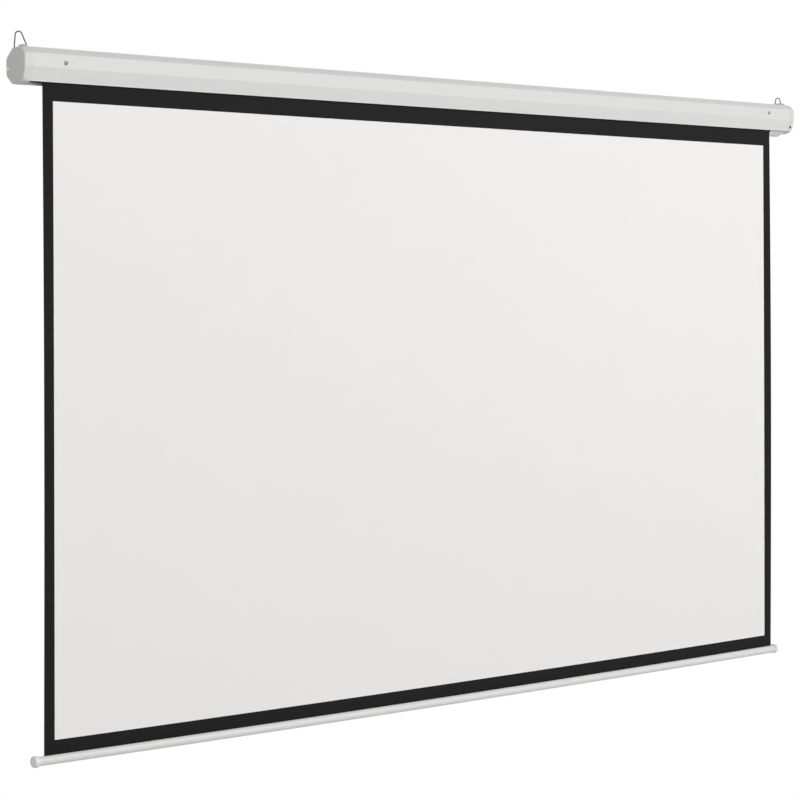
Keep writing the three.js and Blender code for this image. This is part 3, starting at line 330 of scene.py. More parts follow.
# Brass: turned, warm and bright.
turned_brass = skin("turned_brass", "#b7995a", 0.33, 0.5, 0.008, 1.0, ALONG_CASE, shade=0.1)
print("skins", len([m for m in bpy.data.materials if m.use_nodes]))

# %% [markdown]
# ## Projection fabric
# The screen is woven glass or polyester coated with PVC. The front is dead matt white so that it
# spreads the picture evenly, the border is printed matt black to swallow stray light, and the back
# is dark so that nothing shines through. The coating keeps a faint emboss of the weave. The weave
# follows the sheet, so it reads the sheet's own UV map, which is in metres of flat cloth. Its
# threads are 0.6 mm apart; it is drawn at 1.2 mm so that it shows in a close view.

# %% Fabric materials
WEAVE_MM = 1.2
WEAVE_DEPTH_MM = 0.02
WAVES_PER_UNIT = 3.183  # a wave texture of scale 1 makes this many bands in one unit, 10 / pi


def coated_fabric(name, colour, roughness, gloss, shade):
    material, tree = new_surface(name)
    flat = add(tree, "ShaderNodeUVMap", uv_map="flat_cloth")
    scale = per_metre(WEAVE_MM) / WAVES_PER_UNIT
    warp, weft = [
        add(tree, "ShaderNodeTexWave", {"Vector": flat, "Scale": scale}, bands_direction=way)
        for way in ("X", "Y")
    ]
    threads = {0: warp.outputs["Fac"], 1: weft.outputs["Fac"]}
    weave = add(tree, "ShaderNodeMath", threads, operation="MULTIPLY")
    relief = {"Height": weave, "Distance": WEAVE_DEPTH_MM * MM}
    surface = add(tree, "ShaderNodeBsdfPrincipled", {
        "Roughness": roughness,
        "Specular IOR Level": gloss,
        "Base Color": clouded(tree, flat, CLOUD_MM * 3, 2.0, colour, shade),
        "Normal": add(tree, "ShaderNodeBump", relief),
    })
    add(tree, "ShaderNodeOutputMaterial", {"Surface": surface})
    return material


white_cloth = coated_fabric("matt_white_coated_fabric", "#f8f7f6", 0.85, 0.3, 0.015)
black_border = coated_fabric("matt_black_printed_border", "#131314", 0.7, 0.13, 0.1)
dark_backing = coated_fabric("dark_coated_backing", "#3a3b3d", 0.75, 0.2, 0.06)
print("fabrics", white_cloth.name, black_border.name, dark_backing.name)

# %% [markdown]
# ## From points to pieces
# Small tools make the meshes: an outline with rounded corners, a loft through rings, a turned form
# about a line along X, and a boolean that cuts boxes and round bars out of a form. Then a finish
# welds and smooths the mesh. A smooth surface with sharp edges needs its creases marked by angle.

# %% Helpers for meshes
CREASE = math.radians(32)


def settled(thing):
    """The plain mesh that an object's modifiers make. The object itself goes."""
    graph = bpy.context.evaluated_depsgraph_get()
    mesh = bpy.data.meshes.new_from_object(thing.evaluated_get(graph), depsgraph=graph)
    bpy.data.objects.remove(thing)
    return mesh


def welded(mesh):
    """The mesh with its points joined and its faces turned outwards."""
    work = bmesh.new()
    work.from_mesh(mesh)
    bmesh.ops.remove_doubles(work, verts=work.verts, dist=1e-6)
    bmesh.ops.recalc_face_normals(work, faces=work.faces)
    work.to_mesh(mesh)
    work.free()
    return mesh


def shaded(mesh):
    """Smooth over small angles. Large faces keep their own normal, so flat bands stay flat."""
    mesh.shade_smooth()
    mesh.set_sharp_from_angle(angle=CREASE)
    piece = linked("unweighted", mesh)
    weighted = piece.modifiers.new("weighted", "WEIGHTED_NORMAL")
    weighted.keep_sharp = True
    return settled(piece)


def finish(mesh, name, material, body, nodes):
    """Turns a mesh into a finished piece that rides on a body and stands for CAD nodes."""
    mesh = shaded(welded(mesh))
    if material:
        mesh.materials.clear()
        mesh.materials.append(material)
    mesh.name = name
    piece = linked(name, mesh)
    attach(piece, body)
    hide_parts(*nodes)
    return piece


def ends(node):
    """Where a CAD node begins and ends along the screen."""
    return [corner.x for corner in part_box(node)]


def spread(low, high, count):
    return [low + (high - low) * i / count for i in range(count + 1)]


def arc(radius, start, stop, count, centre=(0, 0)):
    """Points on a circle from one angle to another."""
    a, b = centre
    return [
        (a + radius * math.cos(turn), b + radius * math.sin(turn))
        for turn in spread(start, stop, count)
    ]


def rounded(corners, steps=6):
    """A path or a closed outline from places and radii. Where the radius is 0 it stays sharp."""
    path = []
    for i, (corner, radius) in enumerate(corners):
        if not radius:
            path.append(corner)
            continue
        arriving = (corner - corners[i - 1][0]).normalized()
        leaving = (corners[(i + 1) % len(corners)][0] - corner).normalized()
        turn = math.atan2(arriving.cross(leaving), arriving.dot(leaving))
        start = corner - arriving * radius * math.tan(abs(turn) / 2)
        side = Vector((-arriving.y, arriving.x)) * math.copysign(radius, turn)
        first = math.atan2(-side.y, -side.x)
        path += [Vector(p) for p in arc(radius, first, first + turn, steps, start + side)]
    return path


def shifted(points, shift, closed=False):
    """A path or a closed outline moved to its left by shift."""
    moved = []
    for i, point in enumerate(points):
        before = points[i - 1] if i or closed else point
        after = points[(i + 1) % len(points)] if closed or i + 1 < len(points) else point
        edges = [e.normalized() for e in (point - before, after - point) if e.length > 1e-9]
        a, b = [Vector((-e.y, e.x)) for e in (edges[0], edges[-1])]
        moved.append(point + (a + b) * (shift / (1 + a.dot(b))))
    return moved


def skinned(rings, joined=False):
    """A mesh through rings of equal count, with its ends closed or joined to each other."""
    count = len(rings[0])
    points = [p for ring in rings for p in ring]
    faces = []
    for r in range(len(rings) if joined else len(rings) - 1):
        below, above = r * count, (r + 1) % len(rings) * count
        for i in range(count):
            j = (i + 1) % count
            faces.append((below + i, below + j, above + j, above + i))
    if not joined:
        faces.append(tuple(range(count)))
        faces.append(tuple(range(len(points) - count, len(points))))
    mesh = bpy.data.meshes.new("skinned")
    mesh.from_pydata(points, [], faces)
    return mesh


def turned(profile, y, z, sides=64, hollow=False):
    """A form turned about the line along X through (y, z), from points of radius and x."""
    rings = [
        [(x, *point) for point in arc(radius, 0, 2 * math.pi, sides, (y, z))[:-1]]
        for radius, x in profile
    ]
    return skinned(rings, hollow)


def box_form(low, high):
    """A box from one corner to the opposite one."""
    around = [(low[1], low[2]), (high[1], low[2]), (high[1], high[2]), (low[1], high[2])]
    return skinned([[(x, *corner) for corner in around] for x in (low[0], high[0])])


def bore(radius, start, stop):
    """A round bar from one point to another, for cutting a hole."""
    along = Vector(stop) - Vector(start)
    mesh = turned([(0, 0), (radius, 0), (radius, along.length), (0, along.length)], 0, 0, 40)
    turn = along.to_track_quat("X", "Z").to_matrix().to_4x4()
    mesh.transform(Matrix.Translation(start) @ turn)
    return mesh


def carved(mesh, cuts, joins=()):
    """A closed mesh with others joined to it, and then others cut out of it."""
    piece = linked("uncut", welded(mesh))
    tools = []
    for operation, forms in (("UNION", joins), ("DIFFERENCE", cuts)):
        for form in forms:
            tool = linked("tool", welded(form))
            tools.append(tool)
            step = piece.modifiers.new(operation, "BOOLEAN")
            step.object = tool
            step.operation = operation
            step.solver = "MANIFOLD"
    result = settled(piece)
    for tool in tools:
        bpy.data.objects.remove(tool)
    return result


# %% [markdown]
# ## The section of the case
# The case is one strip of sheet steel, bent to an octagon with a slot left open below. Its upper
# corners also shape the caps, so they come first, as distances from the front and the top. The
# bends at the front are tight and those at the back are wide. The foot of its skirt ends in a
# narrow upright bead, which catches the light as a thin line.

# %% Section
case_low, case_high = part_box("case_shell")
FRONT, BACK = case_low.y, case_high.y
TOP = case_high.z
SHEET = 1.0 * MM
FRONT_BEND = 5.0 * MM
BACK_BEND = 12.0 * MM
LIP_BEND = 1.4 * MM
LIP = 6 * MM
FRONT_TOP = TOP - 12.5 * MM
RIDGE = FRONT_TOP - 27 * MM
HEM = RIDGE - 28 * MM
SKIRT_FOOT = FRONT + 7 * MM
SLOT_FRONT = SKIRT_FOOT + 3 * MM
SLOT_REAR = SLOT_FRONT + 18 * MM
BACK_TOP = TOP - 21.5 * MM
BACK_FOOT = BACK_TOP - 34 * MM
FOOT_DEPTH = BACK - 20 * MM
FOOT = BACK_FOOT - 17 * MM
SLOT_FOOT = FOOT - 1.5 * MM
BEAD = 2.2 * MM


def bend(depth, height, radius=0.0):
    """A corner of an outline and the radius of its bend."""
    return Vector((depth, height)), radius


upper_corners = [
    bend(FRONT, RIDGE, FRONT_BEND),
    bend(FRONT, FRONT_TOP, FRONT_BEND),
    bend(FRONT + 14 * MM, TOP, FRONT_BEND),
    bend(BACK - 23 * MM, TOP, BACK_BEND),
    bend(BACK, BACK_TOP, BACK_BEND),
    bend(BACK, BACK_FOOT, BACK_BEND),
    bend(FOOT_DEPTH, FOOT, BACK_BEND),
]


def case_section():
    path = rounded([
        bend(SLOT_FRONT, HEM + LIP),
        bend(SLOT_FRONT, HEM, LIP_BEND),
        bend(SKIRT_FOOT, HEM, BEAD / 3),
        bend(SKIRT_FOOT, HEM + BEAD, BEAD / 3),
        *upper_corners,
        bend(SLOT_REAR, SLOT_FOOT, LIP_BEND),
        bend(SLOT_REAR, SLOT_FOOT + LIP),
    ])
    return path + shifted(path, -SHEET)[::-1]


print("section points", len(case_section()))

# %% [markdown]
# ## Geometry trees
# Three node trees make the drawn and the repeated pieces. Each takes named inputs, ends in real
# copies with a material, and is run on an empty mesh, whose result is kept as a plain mesh.

# %% Helpers for geometry trees
def new_tree(name, inputs):
    """An empty tree with its named inputs and a mesh as its output."""
    tree = bpy.data.node_groups.new(name, "GeometryNodeTree")
    for socket, kind in inputs.items():
        tree.interface.new_socket(socket, in_out="INPUT", socket_type="NodeSocket" + kind)
    tree.interface.new_socket("Mesh", in_out="OUTPUT", socket_type="NodeSocketGeometry")
    return tree, add(tree, "NodeGroupInput").outputs


def end_tree(tree, made, given):
    """The end of a tree: real copies, which take the material."""
    real = add(tree, "GeometryNodeRealizeInstances", {"Geometry": made})
    inputs = {"Geometry": real, "Material": given["Material"]}
    painted = add(tree, "GeometryNodeSetMaterial", inputs)
    add(tree, "NodeGroupOutput", {"Mesh": painted})
    return tree


def run_tree(tree, **values):
    """The mesh that a tree makes from its named inputs. Objects among them are used up."""
    carrier = linked("carrier", bpy.data.meshes.new("carrier"))
    modifier = carrier.modifiers.new("tree", "NODES")
    modifier.node_group = tree
    sockets = {s.name: s.identifier for s in tree.interface.items_tree if s.in_out == "INPUT"}
    for name, value in values.items():
        modifier[sockets[name]] = value
    mesh = settled(carrier)
    for value in values.values():
        if isinstance(value, bpy.types.Object):
            bpy.data.objects.remove(value)
    return mesh


def closed_curve(points, dimensions="2D"):
    """A closed curve through points of x, y and z."""
    data = bpy.data.curves.new("closed_curve", "CURVE")
    data.dimensions = dimensions
    spline = data.splines.new("POLY")
    spline.points.add(len(points) - 1)
    for target, point in zip(spline.points, points):
        target.co = (*point, 1)
    spline.use_cyclic_u = True
    return linked("closed_curve", data)


# %% [markdown]
# ## A section drawn along a line
# The case, the weight bar and the rod in its hem are all one section drawn along the screen. The
# case is straight; the bar and the rod are only held by the cloth and sag a little in the middle.
# One tree makes all three: a line, resampled, lowered by a parabola and given the section by
# Curve to Mesh.

# %% Tree for a drawn section
def drawn_section_tree():
    inputs = {"Section": "Object", "Steps": "Int", "Material": "Material"}
    inputs.update({name: "Float" for name in ("Left", "Right", "Depth", "Height", "Sag")})
    tree, given = new_tree("drawn_section", inputs)
    start, end = [
        add(tree, "ShaderNodeCombineXYZ", {"X": x, "Y": given["Depth"], "Z": given["Height"]})
        for x in (given["Left"], given["Right"])
    ]
    line = add(tree, "GeometryNodeCurvePrimitiveLine", {"Start": start, "End": end})
    points = add(tree, "GeometryNodeResampleCurve", {"Curve": line, "Count": given["Steps"]})
    along = add(tree, "GeometryNodeSplineParameter").outputs["Factor"]
    across = add(tree, "ShaderNodeMapRange", {"Value": along, "To Min": -1.0, "To Max": 1.0})
    square = add(tree, "ShaderNodeMath", {0: across, 1: across}, operation="MULTIPLY")
    fall = add(tree, "ShaderNodeMath", {0: square, 1: 1.0}, operation="SUBTRACT")
    lower = add(tree, "ShaderNodeMath", {0: fall, 1: given["Sag"]}, operation="MULTIPLY")
    offset = add(tree, "ShaderNodeCombineXYZ", {"Z": lower})
    sagging = add(tree, "GeometryNodeSetPosition", {"Geometry": points, "Offset": offset})
    upright = add(tree, "GeometryNodeSetCurveNormal", {"Curve": sagging})
    section = add(tree, "GeometryNodeObjectInfo", {"Object": given["Section"]}).outputs["Geometry"]
    inputs = {"Curve": upright, "Profile Curve": section, "Fill Caps": True}
    return end_tree(tree, add(tree, "GeometryNodeCurveToMesh", inputs), given)


section_tree = drawn_section_tree()


def drawn(points, left, right, depth, height, sag, steps, material):
    """A section of depths and heights, drawn from left to right."""
    return run_tree(
        section_tree, Section=closed_curve([(-y, -z, 0) for y, z in points]), Left=left,
        Right=right, Depth=depth, Height=height, Sag=sag, Steps=steps, Material=material,
    )


print("tree", section_tree.name)

# %% [markdown]
# ## Case
# The strip is a millimetre thick, powder coated white after forming. Each bend catches a soft line
# of light. At each end the top is notched for the foot of the hanging loop, and a screw through
# the front holds the end plate's tongue.

# %% Case
AXIS_Y = FRONT + 33.5 * MM
SEAM = 0.3 * MM
PLATE = 2 * MM
MOUTH = case_high.x + SEAM
LOOP_X = MOUTH + PLATE / 2
LOOP_Y = BACK - 29.4 * MM
LOOP_WIRE = 2.6 * MM
LOOP_FOOT = 27.5 * MM
LOOP_TURN = math.radians(15)
LOOP_SHIFT = 1.2 * MM
LOOP_LOWERED = TOP - 13.1 * MM
LOOP_ROOM = 0.6 * MM
UNDER_LOOP = 6 * MM
ABOVE = 10 * MM
CASE_HOLE = 2.3 * MM
SIDES = ((-1, "left"), (1, "right"))
case_screws = []
for _, name in SIDES:
    low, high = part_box(name + "_case_screw")
    case_screws.append(Vector(((low.x + high.x) / 2, FRONT, (low.z + high.z) / 2)))


def loop_notch(side):
    """The room for the foot of a loop, turned as the loop is."""
    reach = LOOP_FOOT / 2 + LOOP_WIRE / 2 + LOOP_ROOM + LOOP_SHIFT
    half = LOOP_WIRE / 2 + LOOP_ROOM
    notch = box_form((-reach, -half, LOOP_LOWERED - UNDER_LOOP), (reach, half, TOP + ABOVE))
    place = Matrix.Translation((side * LOOP_X, LOOP_Y, 0))
    notch.transform(place @ Matrix.Rotation(-LOOP_TURN, 4, "Z"))
    return notch


def build_case():
    mesh = drawn(case_section(), case_low.x, case_high.x, 0, 0, 0, 2, powder_coat)
    cuts = [loop_notch(side) for side, _ in SIDES]
    through = Vector((0, 3 * MM, 0))
    cuts += [bore(CASE_HOLE, place - through, place + through) for place in case_screws]
    return finish(
        carved(mesh, cuts), "steel_case", powder_coat, "case", ["case_shell"]
    )


print("case", len(build_case().data.polygons), "faces")

# %% [markdown]
# ## End caps
# Each cap is a moulded cup, flush with the case, that hides the end plate. From its mouth to its
# end it narrows towards a point low on its front, more and more, and its front corners grow
# rounder. There its edge is rounded and its face slightly domed. Rings of the case's outline, moved
# and inset step by step, give that form twice: once for the outside and once, a wall thickness
# smaller, for the hollow cut out of it.

# %% Cap forms
CAP_END = ends("right_end_cap")[1]
CAP_LENGTH = CAP_END - MOUTH
CAP_WALL = 1 * MM
CAP_END_WALL = 1.5 * MM
CAP_ROUNDING = 2.5 * MM
CAP_CROWN = 0.6 * MM
CAP_CROWN_INSET = 12 * MM
CAP_LIP = 0.1 * MM
CAP_START = -0.25 * MM
DEPTH_SHARE = 0.08
HEIGHT_SHARE = 0.03
FOOT_ROUNDING = 20 * MM
LOW_FRONT = Vector((FRONT + 5 * MM, -20 * MM))
SMALLEST_BEND = 0.5 * MM
TOP_ROUNDING = 9 * MM
cap_corners = [(corner, radius, TOP_ROUNDING) for corner, radius in upper_corners[:3]]
cap_corners += [(corner, radius, 0) for corner, radius in upper_corners[3:]]
cap_corners += [
    (*bend(SLOT_REAR, SLOT_FOOT, FRONT_BEND), 0),
    (*bend(SKIRT_FOOT, HEM, LIP_BEND), FOOT_ROUNDING),
]


def cap_ring(side, out, inset):
    """The cap's outline at a distance from its mouth."""
    share = max(out, 0) / CAP_LENGTH
    share *= share
    shift = Vector((DEPTH_SHARE * share, HEIGHT_SHARE * share))
    places = [corner + shift * (LOW_FRONT - corner) for corner, radius, more in cap_corners]
    radii = [max(radius + more * share - inset, SMALLEST_BEND) for _, radius, more in cap_corners]
    outline = rounded(list(zip(shifted(places, -inset, True), radii)), 8)
    return [(side * (MOUTH + out), *point) for point in outline]


def cap_form(side, start, stop, inset, rounding):
    """A closed form of the cap's shape between two distances from its mouth."""
    rim = stop - CAP_CROWN - rounding
    rings = [cap_ring(side, out, inset) for out in spread(start, rim, 10)]
    for angle in spread(0, math.pi / 2, 6)[1:]:
        further = inset + rounding * (1 - math.cos(angle))
        rings.append(cap_ring(side, rim + rounding * math.sin(angle), further))
    for share in (0.4, 0.75, 1.0):
        rise = CAP_CROWN * (1 - (1 - share) ** 2)
        further = inset + rounding + CAP_CROWN_INSET * share
        rings.append(cap_ring(side, rim + rounding + rise, further))
    return rings


print("cap", round(CAP_LENGTH / MM, 2), "mm deep")

# %% [markdown]
# ## Chin
# The motor's cap goes on under the case as a shallow channel, which closes the slot beside the
# screen and hides the motor's head. One bent strip makes it, through three rings: upright beside
# the screen, slanted at the cap's mouth, and nearly flat at the cap's end.

# %% Chin
CHIN_BEND = 2 * MM
CHIN_CLEARANCE = 3 * MM
CHIN_SLIT = 1.3 * MM
CHIN_RUN = 10 * MM
CHIN_DEPTH = 6.5 * MM
CHIN_REAR = SLOT_REAR + 11 * MM
CHIN_TIP_INSET = 1.2 * MM


def chin_form():
    lip = SLOT_FRONT + SEAM
    floor = SLOT_FOOT - CHIN_DEPTH
    outside = rounded([
        bend(lip, HEM - CHIN_SLIT),
        bend(lip + CHIN_RUN, floor, CHIN_BEND),
        bend(CHIN_REAR, floor, CHIN_BEND),
        bend(CHIN_REAR + 4 * MM, floor + 5.5 * MM),
    ])
    outline = outside + shifted(outside, CAP_WALL)[::-1]
    start = ends("screen_fabric")[1] + CHIN_CLEARANCE
    rings = []
    for x, slant, height in ((start, 0, 1), (MOUTH, 1.3, 1), (CAP_END - CHIN_TIP_INSET, 0.5, 0.2)):
        rings.append([
            (x - (CHIN_REAR - p.x) * slant, p.x, HEM + (p.y - HEM) * height) for p in outline
        ])
    return skinned(rings)


print("chin", len(chin_form().polygons), "faces")

# %% [markdown]
# ## Openings of the caps
# Both caps are notched for the ear and the loop and bored for the screw that holds them. The
# motor's cap also has two holes for the key of the limit adjusters, one for the cable's gland and
# one for a screw through the skirt. A boolean with a simple form cuts each of them.

# %% End caps
SEAT_DEPTH = 1 * MM
PAST = 5 * MM
EAR_FRONT, EAR_BACK = 21.3 * MM, 15.7 * MM
CAP_SCREW_Y, CAP_SCREW_Z = BACK - 11 * MM, -4.5 * MM
SCREW_SEAT, SCREW_HOLE = 3.8 * MM, 2.05 * MM
SKIRT_TURN = math.atan2(SKIRT_FOOT - FRONT, RIDGE - HEM)
gland_low, gland_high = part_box("cable_gland")
GLAND_Y, GLAND_Z = ((gland_low + gland_high) / 2).yz
GLAND_SEAT, GLAND_HOLE = 8.8 * MM, 6.3 * MM
KEY_HOLE = 3.5 * MM
LIMIT_Z = 7 * MM
LIMIT_SPREAD = 17 * MM
SIDE_X, SIDE_DOWN = CAP_END - 12.5 * MM, 17.5 * MM
SIDE_HOLE = 1.9 * MM


def on_skirt(out):
    """The side screw's place on the skirt, out from the sheet."""
    along = Vector((0, math.sin(SKIRT_TURN), -math.cos(SKIRT_TURN)))
    outward = Vector((0, -math.cos(SKIRT_TURN), -math.sin(SKIRT_TURN)))
    return Vector((SIDE_X, FRONT, RIDGE)) + along * SIDE_DOWN + outward * out


def end_bore(side, radius, y, z, depth):
    """A hole in the cap's end face, open to the outside."""
    return bore(radius, (side * (CAP_END - depth), y, z), (side * (CAP_END + PAST), y, z))


def cap_cuts(side):
    near, far = side * case_high.x, side * (MOUTH + PLATE + SEAM)
    return [
        box_form((near, LOOP_Y - EAR_FRONT, FRONT_TOP), (far, LOOP_Y + EAR_BACK, TOP + ABOVE)),
        loop_notch(side),
        end_bore(side, SCREW_SEAT, CAP_SCREW_Y, CAP_SCREW_Z, SEAT_DEPTH),
        end_bore(side, SCREW_HOLE, CAP_SCREW_Y, CAP_SCREW_Z, PAST),
    ]


def motor_cuts():
    return [
        end_bore(1, KEY_HOLE, AXIS_Y - LIMIT_SPREAD / 2, LIMIT_Z, PAST),
        end_bore(1, KEY_HOLE, AXIS_Y + LIMIT_SPREAD / 2, LIMIT_Z, PAST),
        end_bore(1, GLAND_SEAT, GLAND_Y, GLAND_Z, SEAT_DEPTH),
        end_bore(1, GLAND_HOLE, GLAND_Y, GLAND_Z, PAST),
        bore(SIDE_HOLE, on_skirt(-PAST), on_skirt(PAST)),
    ]


def build_cap(side, name):
    outer = [cap_ring(side, CAP_START, CAP_LIP)]
    outer += cap_form(side, CAP_START + CAP_LIP, CAP_LENGTH, 0, CAP_ROUNDING)
    inner = cap_form(side, -SEAM, CAP_LENGTH - CAP_END_WALL, CAP_WALL, CAP_ROUNDING - CAP_WALL)
    cuts = [skinned(inner)] + cap_cuts(side) + (motor_cuts() if side > 0 else [])
    joins = [chin_form()] if side > 0 else []
    mesh = carved(skinned(outer), cuts, joins)
    return finish(mesh, name + "_cap", moulded_abs, "case", [name + "_end_cap"])


for side, name in SIDES:
    cap = build_cap(side, name)
    print(cap.name, len(cap.data.polygons), "faces")

# %% [markdown]
# ## Screen
# The sheet leaves the roller inside the case and hangs 1.3 m down. It is stretched flat by the bar,
# but its free edges curl a few millimetres to the front half way down, as coated cloth does. The
# border is printed on the front: the columns of faces at the sides, the rows at the top and the
# last row at the foot take the black material, and all faces of the back take the dark one. In the
# photograph the upper edge of the picture is a little askew, and so is it here.

# %% Screen
CLOTH = 0.4 * MM
CLOTH_Y = AXIS_Y - 20.6 * MM
SIDE_BORDER = 25.5 * MM
PICTURE_TOP = -67 * MM
SHEET_FOOT = -1312 * MM
PRINTED_FOOT = 2.2 * MM
SKEW = 1.8 * MM
CURL = 3.5 * MM
CURL_WIDTH = 60 * MM
PICTURE_SAG = 4.5 * MM
BAR_SAG = 4.5 * MM
BAR_LEFT, BAR_RIGHT = ends("left_bar_cap")[0], ends("right_bar_cap")[1]
BAR_MIDDLE, BAR_HALF = (BAR_LEFT + BAR_RIGHT) / 2, (BAR_RIGHT - BAR_LEFT) / 2
SHEET_LEFT, SHEET_RIGHT = ends("screen_fabric")


def sag_at(x, sag):
    share = (x - BAR_MIDDLE) / BAR_HALF
    return sag * (1 - share * share)


TOP_SHARE = PICTURE_TOP / SHEET_FOOT
FOOT_SHARE = 1 + PRINTED_FOOT / SHEET_FOOT


def lay_flat(mesh, place=lambda point: point.xz):
    """A UV map of where each point lies on the flat cloth, in metres."""
    flat = mesh.uv_layers.new(name="flat_cloth")
    for loop in mesh.loops:
        flat.data[loop.index].uv = place(mesh.vertices[loop.vertex_index].co)


def sheet_point(x, share):
    edge = min(x - SHEET_LEFT, SHEET_RIGHT - x)
    near = max(0.0, 1 - edge / CURL_WIDTH)
    foot = SHEET_FOOT - sag_at(x, PICTURE_SAG)
    askew = SKEW * (BAR_MIDDLE - x) / BAR_HALF * max(0.0, 1 - abs(share / TOP_SHARE - 1))
    depth = CURL * near * near * math.sin(math.pi * share)
    return Vector((x, CLOTH_Y - depth, foot * share + askew))


def build_sheet():
    near = (0, SIDE_BORDER, CURL_WIDTH)
    stops = [SHEET_LEFT + x for x in near] + [SHEET_RIGHT - x for x in reversed(near)]
    xs = [SHEET_LEFT]
    for low, high, count in zip(stops, stops[1:], (4, 5, 60, 5, 4)):
        xs += spread(low, high, count)[1:]
    shares = spread(0, TOP_SHARE, 3)[:-1] + spread(TOP_SHARE, FOOT_SHARE, 60) + [1]
    mesh = bpy.data.meshes.new("sheet")
    columns, rows = len(xs), len(shares)
    points = [
        sheet_point(x, share) + Vector((0, side * CLOTH / 2, 0))
        for side in (-1, 1) for share in shares for x in xs
    ]
    faces, kinds = [], []
    offset = columns * rows
    for r in range(rows - 1):
        picture = TOP_SHARE - 1e-9 < shares[r] < FOOT_SHARE - 1e-9
        for c in range(columns - 1):
            a = r * columns + c
            quad = (a, a + columns, a + columns + 1, a + 1)
            middle = (xs[c] + xs[c + 1]) / 2
            side = min(middle - SHEET_LEFT, SHEET_RIGHT - middle) < SIDE_BORDER
            faces += [quad, tuple(offset + i for i in reversed(quad))]
            kinds += [0 if picture and not side else 1, 2]
    grid = [[r * columns + c for c in range(columns)] for r in range(rows)]
    right, left = [row[-1] for row in grid[1:]], [row[0] for row in grid[-2:0:-1]]
    rim = grid[0] + right + grid[-1][-2::-1] + left
    for i, a in enumerate(rim):
        b = rim[(i + 1) % len(rim)]
        faces.append((a, b, b + offset, a + offset))
        kinds.append(1)
    mesh.from_pydata(points, [], faces)
    lay_flat(mesh)
    for face, kind in zip(mesh.polygons, kinds):
        face.material_index = kind
    for material in (white_cloth, black_border, dark_backing):
        mesh.materials.append(material)
    return mesh


screen = finish(build_sheet(), "screen_sheet", None, "case", ["screen_fabric"])
print("sheet", len(screen.data.polygons), "faces")

# %% [markdown]
# ## Hem
# Under the picture the black border goes on into the bar, where it is doubled round a rod. It moves
# with the bar, so it is a piece of its own that meets the sheet edge to edge, and its back has the
# sheet's dark backing.

# %% Hem
BAR_RADIUS = 9.25 * MM
BAR_WALL = 1.2 * MM
BAR_SLIT = 3.2 * MM
BAR_Z = -1347.25 * MM
ROD_RADIUS = 3 * MM
EYE_RADIUS = ROD_RADIUS + 0.1 * MM + CLOTH
HEM_GAP = 0.05 * MM
lip_height = math.sqrt((BAR_RADIUS - BAR_WALL) ** 2 - (BAR_SLIT / 2) ** 2)
rod_lift = lip_height - math.sqrt((EYE_RADIUS + 0.3 * MM) ** 2 - (BAR_SLIT / 2) ** 2)
ROD_Z = BAR_Z + rod_lift


def hem_outline(x):
    """The border and its eye in section, with the sag of the picture above and the bar below."""
    half = CLOTH / 2
    rod_z = ROD_Z - sag_at(x, BAR_SAG)
    top = SHEET_FOOT - HEM_GAP - sag_at(x, PICTURE_SAG)
    stem = math.asin(half / EYE_RADIUS)
    eye = arc(EYE_RADIUS, math.pi / 2 + stem, math.pi * 5 / 2 - stem, 24, (0, rod_z))
    shape = [(-half, top), *eye, (half, top)]
    return [(x, CLOTH_Y + d, z) for d, z in shape]


def build_hem():
    mesh = skinned([hem_outline(x) for x in spread(SHEET_LEFT, SHEET_RIGHT, 60)])
    lay_flat(mesh)
    mesh.materials.append(black_border)
    mesh.materials.append(dark_backing)
    for face in mesh.polygons:
        face.material_index = int(face.center.y > CLOTH_Y + CLOTH / 4)
    return finish(mesh, "screen_border_foot", None, "bar", ["screen_hem"])


hem = build_hem()
print("hem", len(hem.data.polygons), "faces")

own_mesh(screen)

# %% [markdown]
# ## Weight bar
# A round steel tube with a slit on top, powder coated like the case. It hangs by the lips of the
# slit on the hem, and has a plain plastic cap on each end. Its outline runs round the outside and
# back round the inside. The rod in the hem is drawn in the same way, with the same sag.

# %% Weight bar
def slit_tube():
    points = []
    for radius, order in ((BAR_RADIUS, 1), (BAR_RADIUS - BAR_WALL, -1)):
        mouth = math.asin(BAR_SLIT / 2 / radius)
        points += arc(radius, math.pi / 2 + mouth, math.pi * 5 / 2 - mouth, 48)[::order]
    return points


def hung(section, z, name, material, node):
    """A piece of one section that sags as the bar does, as long as its node."""
    left, right = ends(node)
    lift = -sag_at(left, BAR_SAG)
    mesh = drawn(section, left, right, CLOTH_Y, z + lift, BAR_SAG + lift, 60, material)
    return finish(mesh, name, material, "bar", [node])


rod_section = arc(ROD_RADIUS - 0.05 * MM, 0, 2 * math.pi, 32)[:-1]
bar = hung(slit_tube(), BAR_Z, "weight_tube", bar_coat, "weight_bar")
rod = hung(rod_section, ROD_Z, "rod_in_hem", bright_steel, "hem_rod")
print("bar", len(bar.data.polygons), "faces; rod", len(rod.data.polygons))

# %% [markdown]
# ## Bar caps
# Each is a moulded cup pushed over the tube's end. Its profile, with a rounded edge, is turned
# about the bar's axis.

# %% Bar caps
BAR_CAP_RADIUS = 11.4 * MM
BAR_CAP_LENGTH = 10 * MM
BAR_CAP_END = 3 * MM
BAR_CAP_EDGE = 3.4 * MM


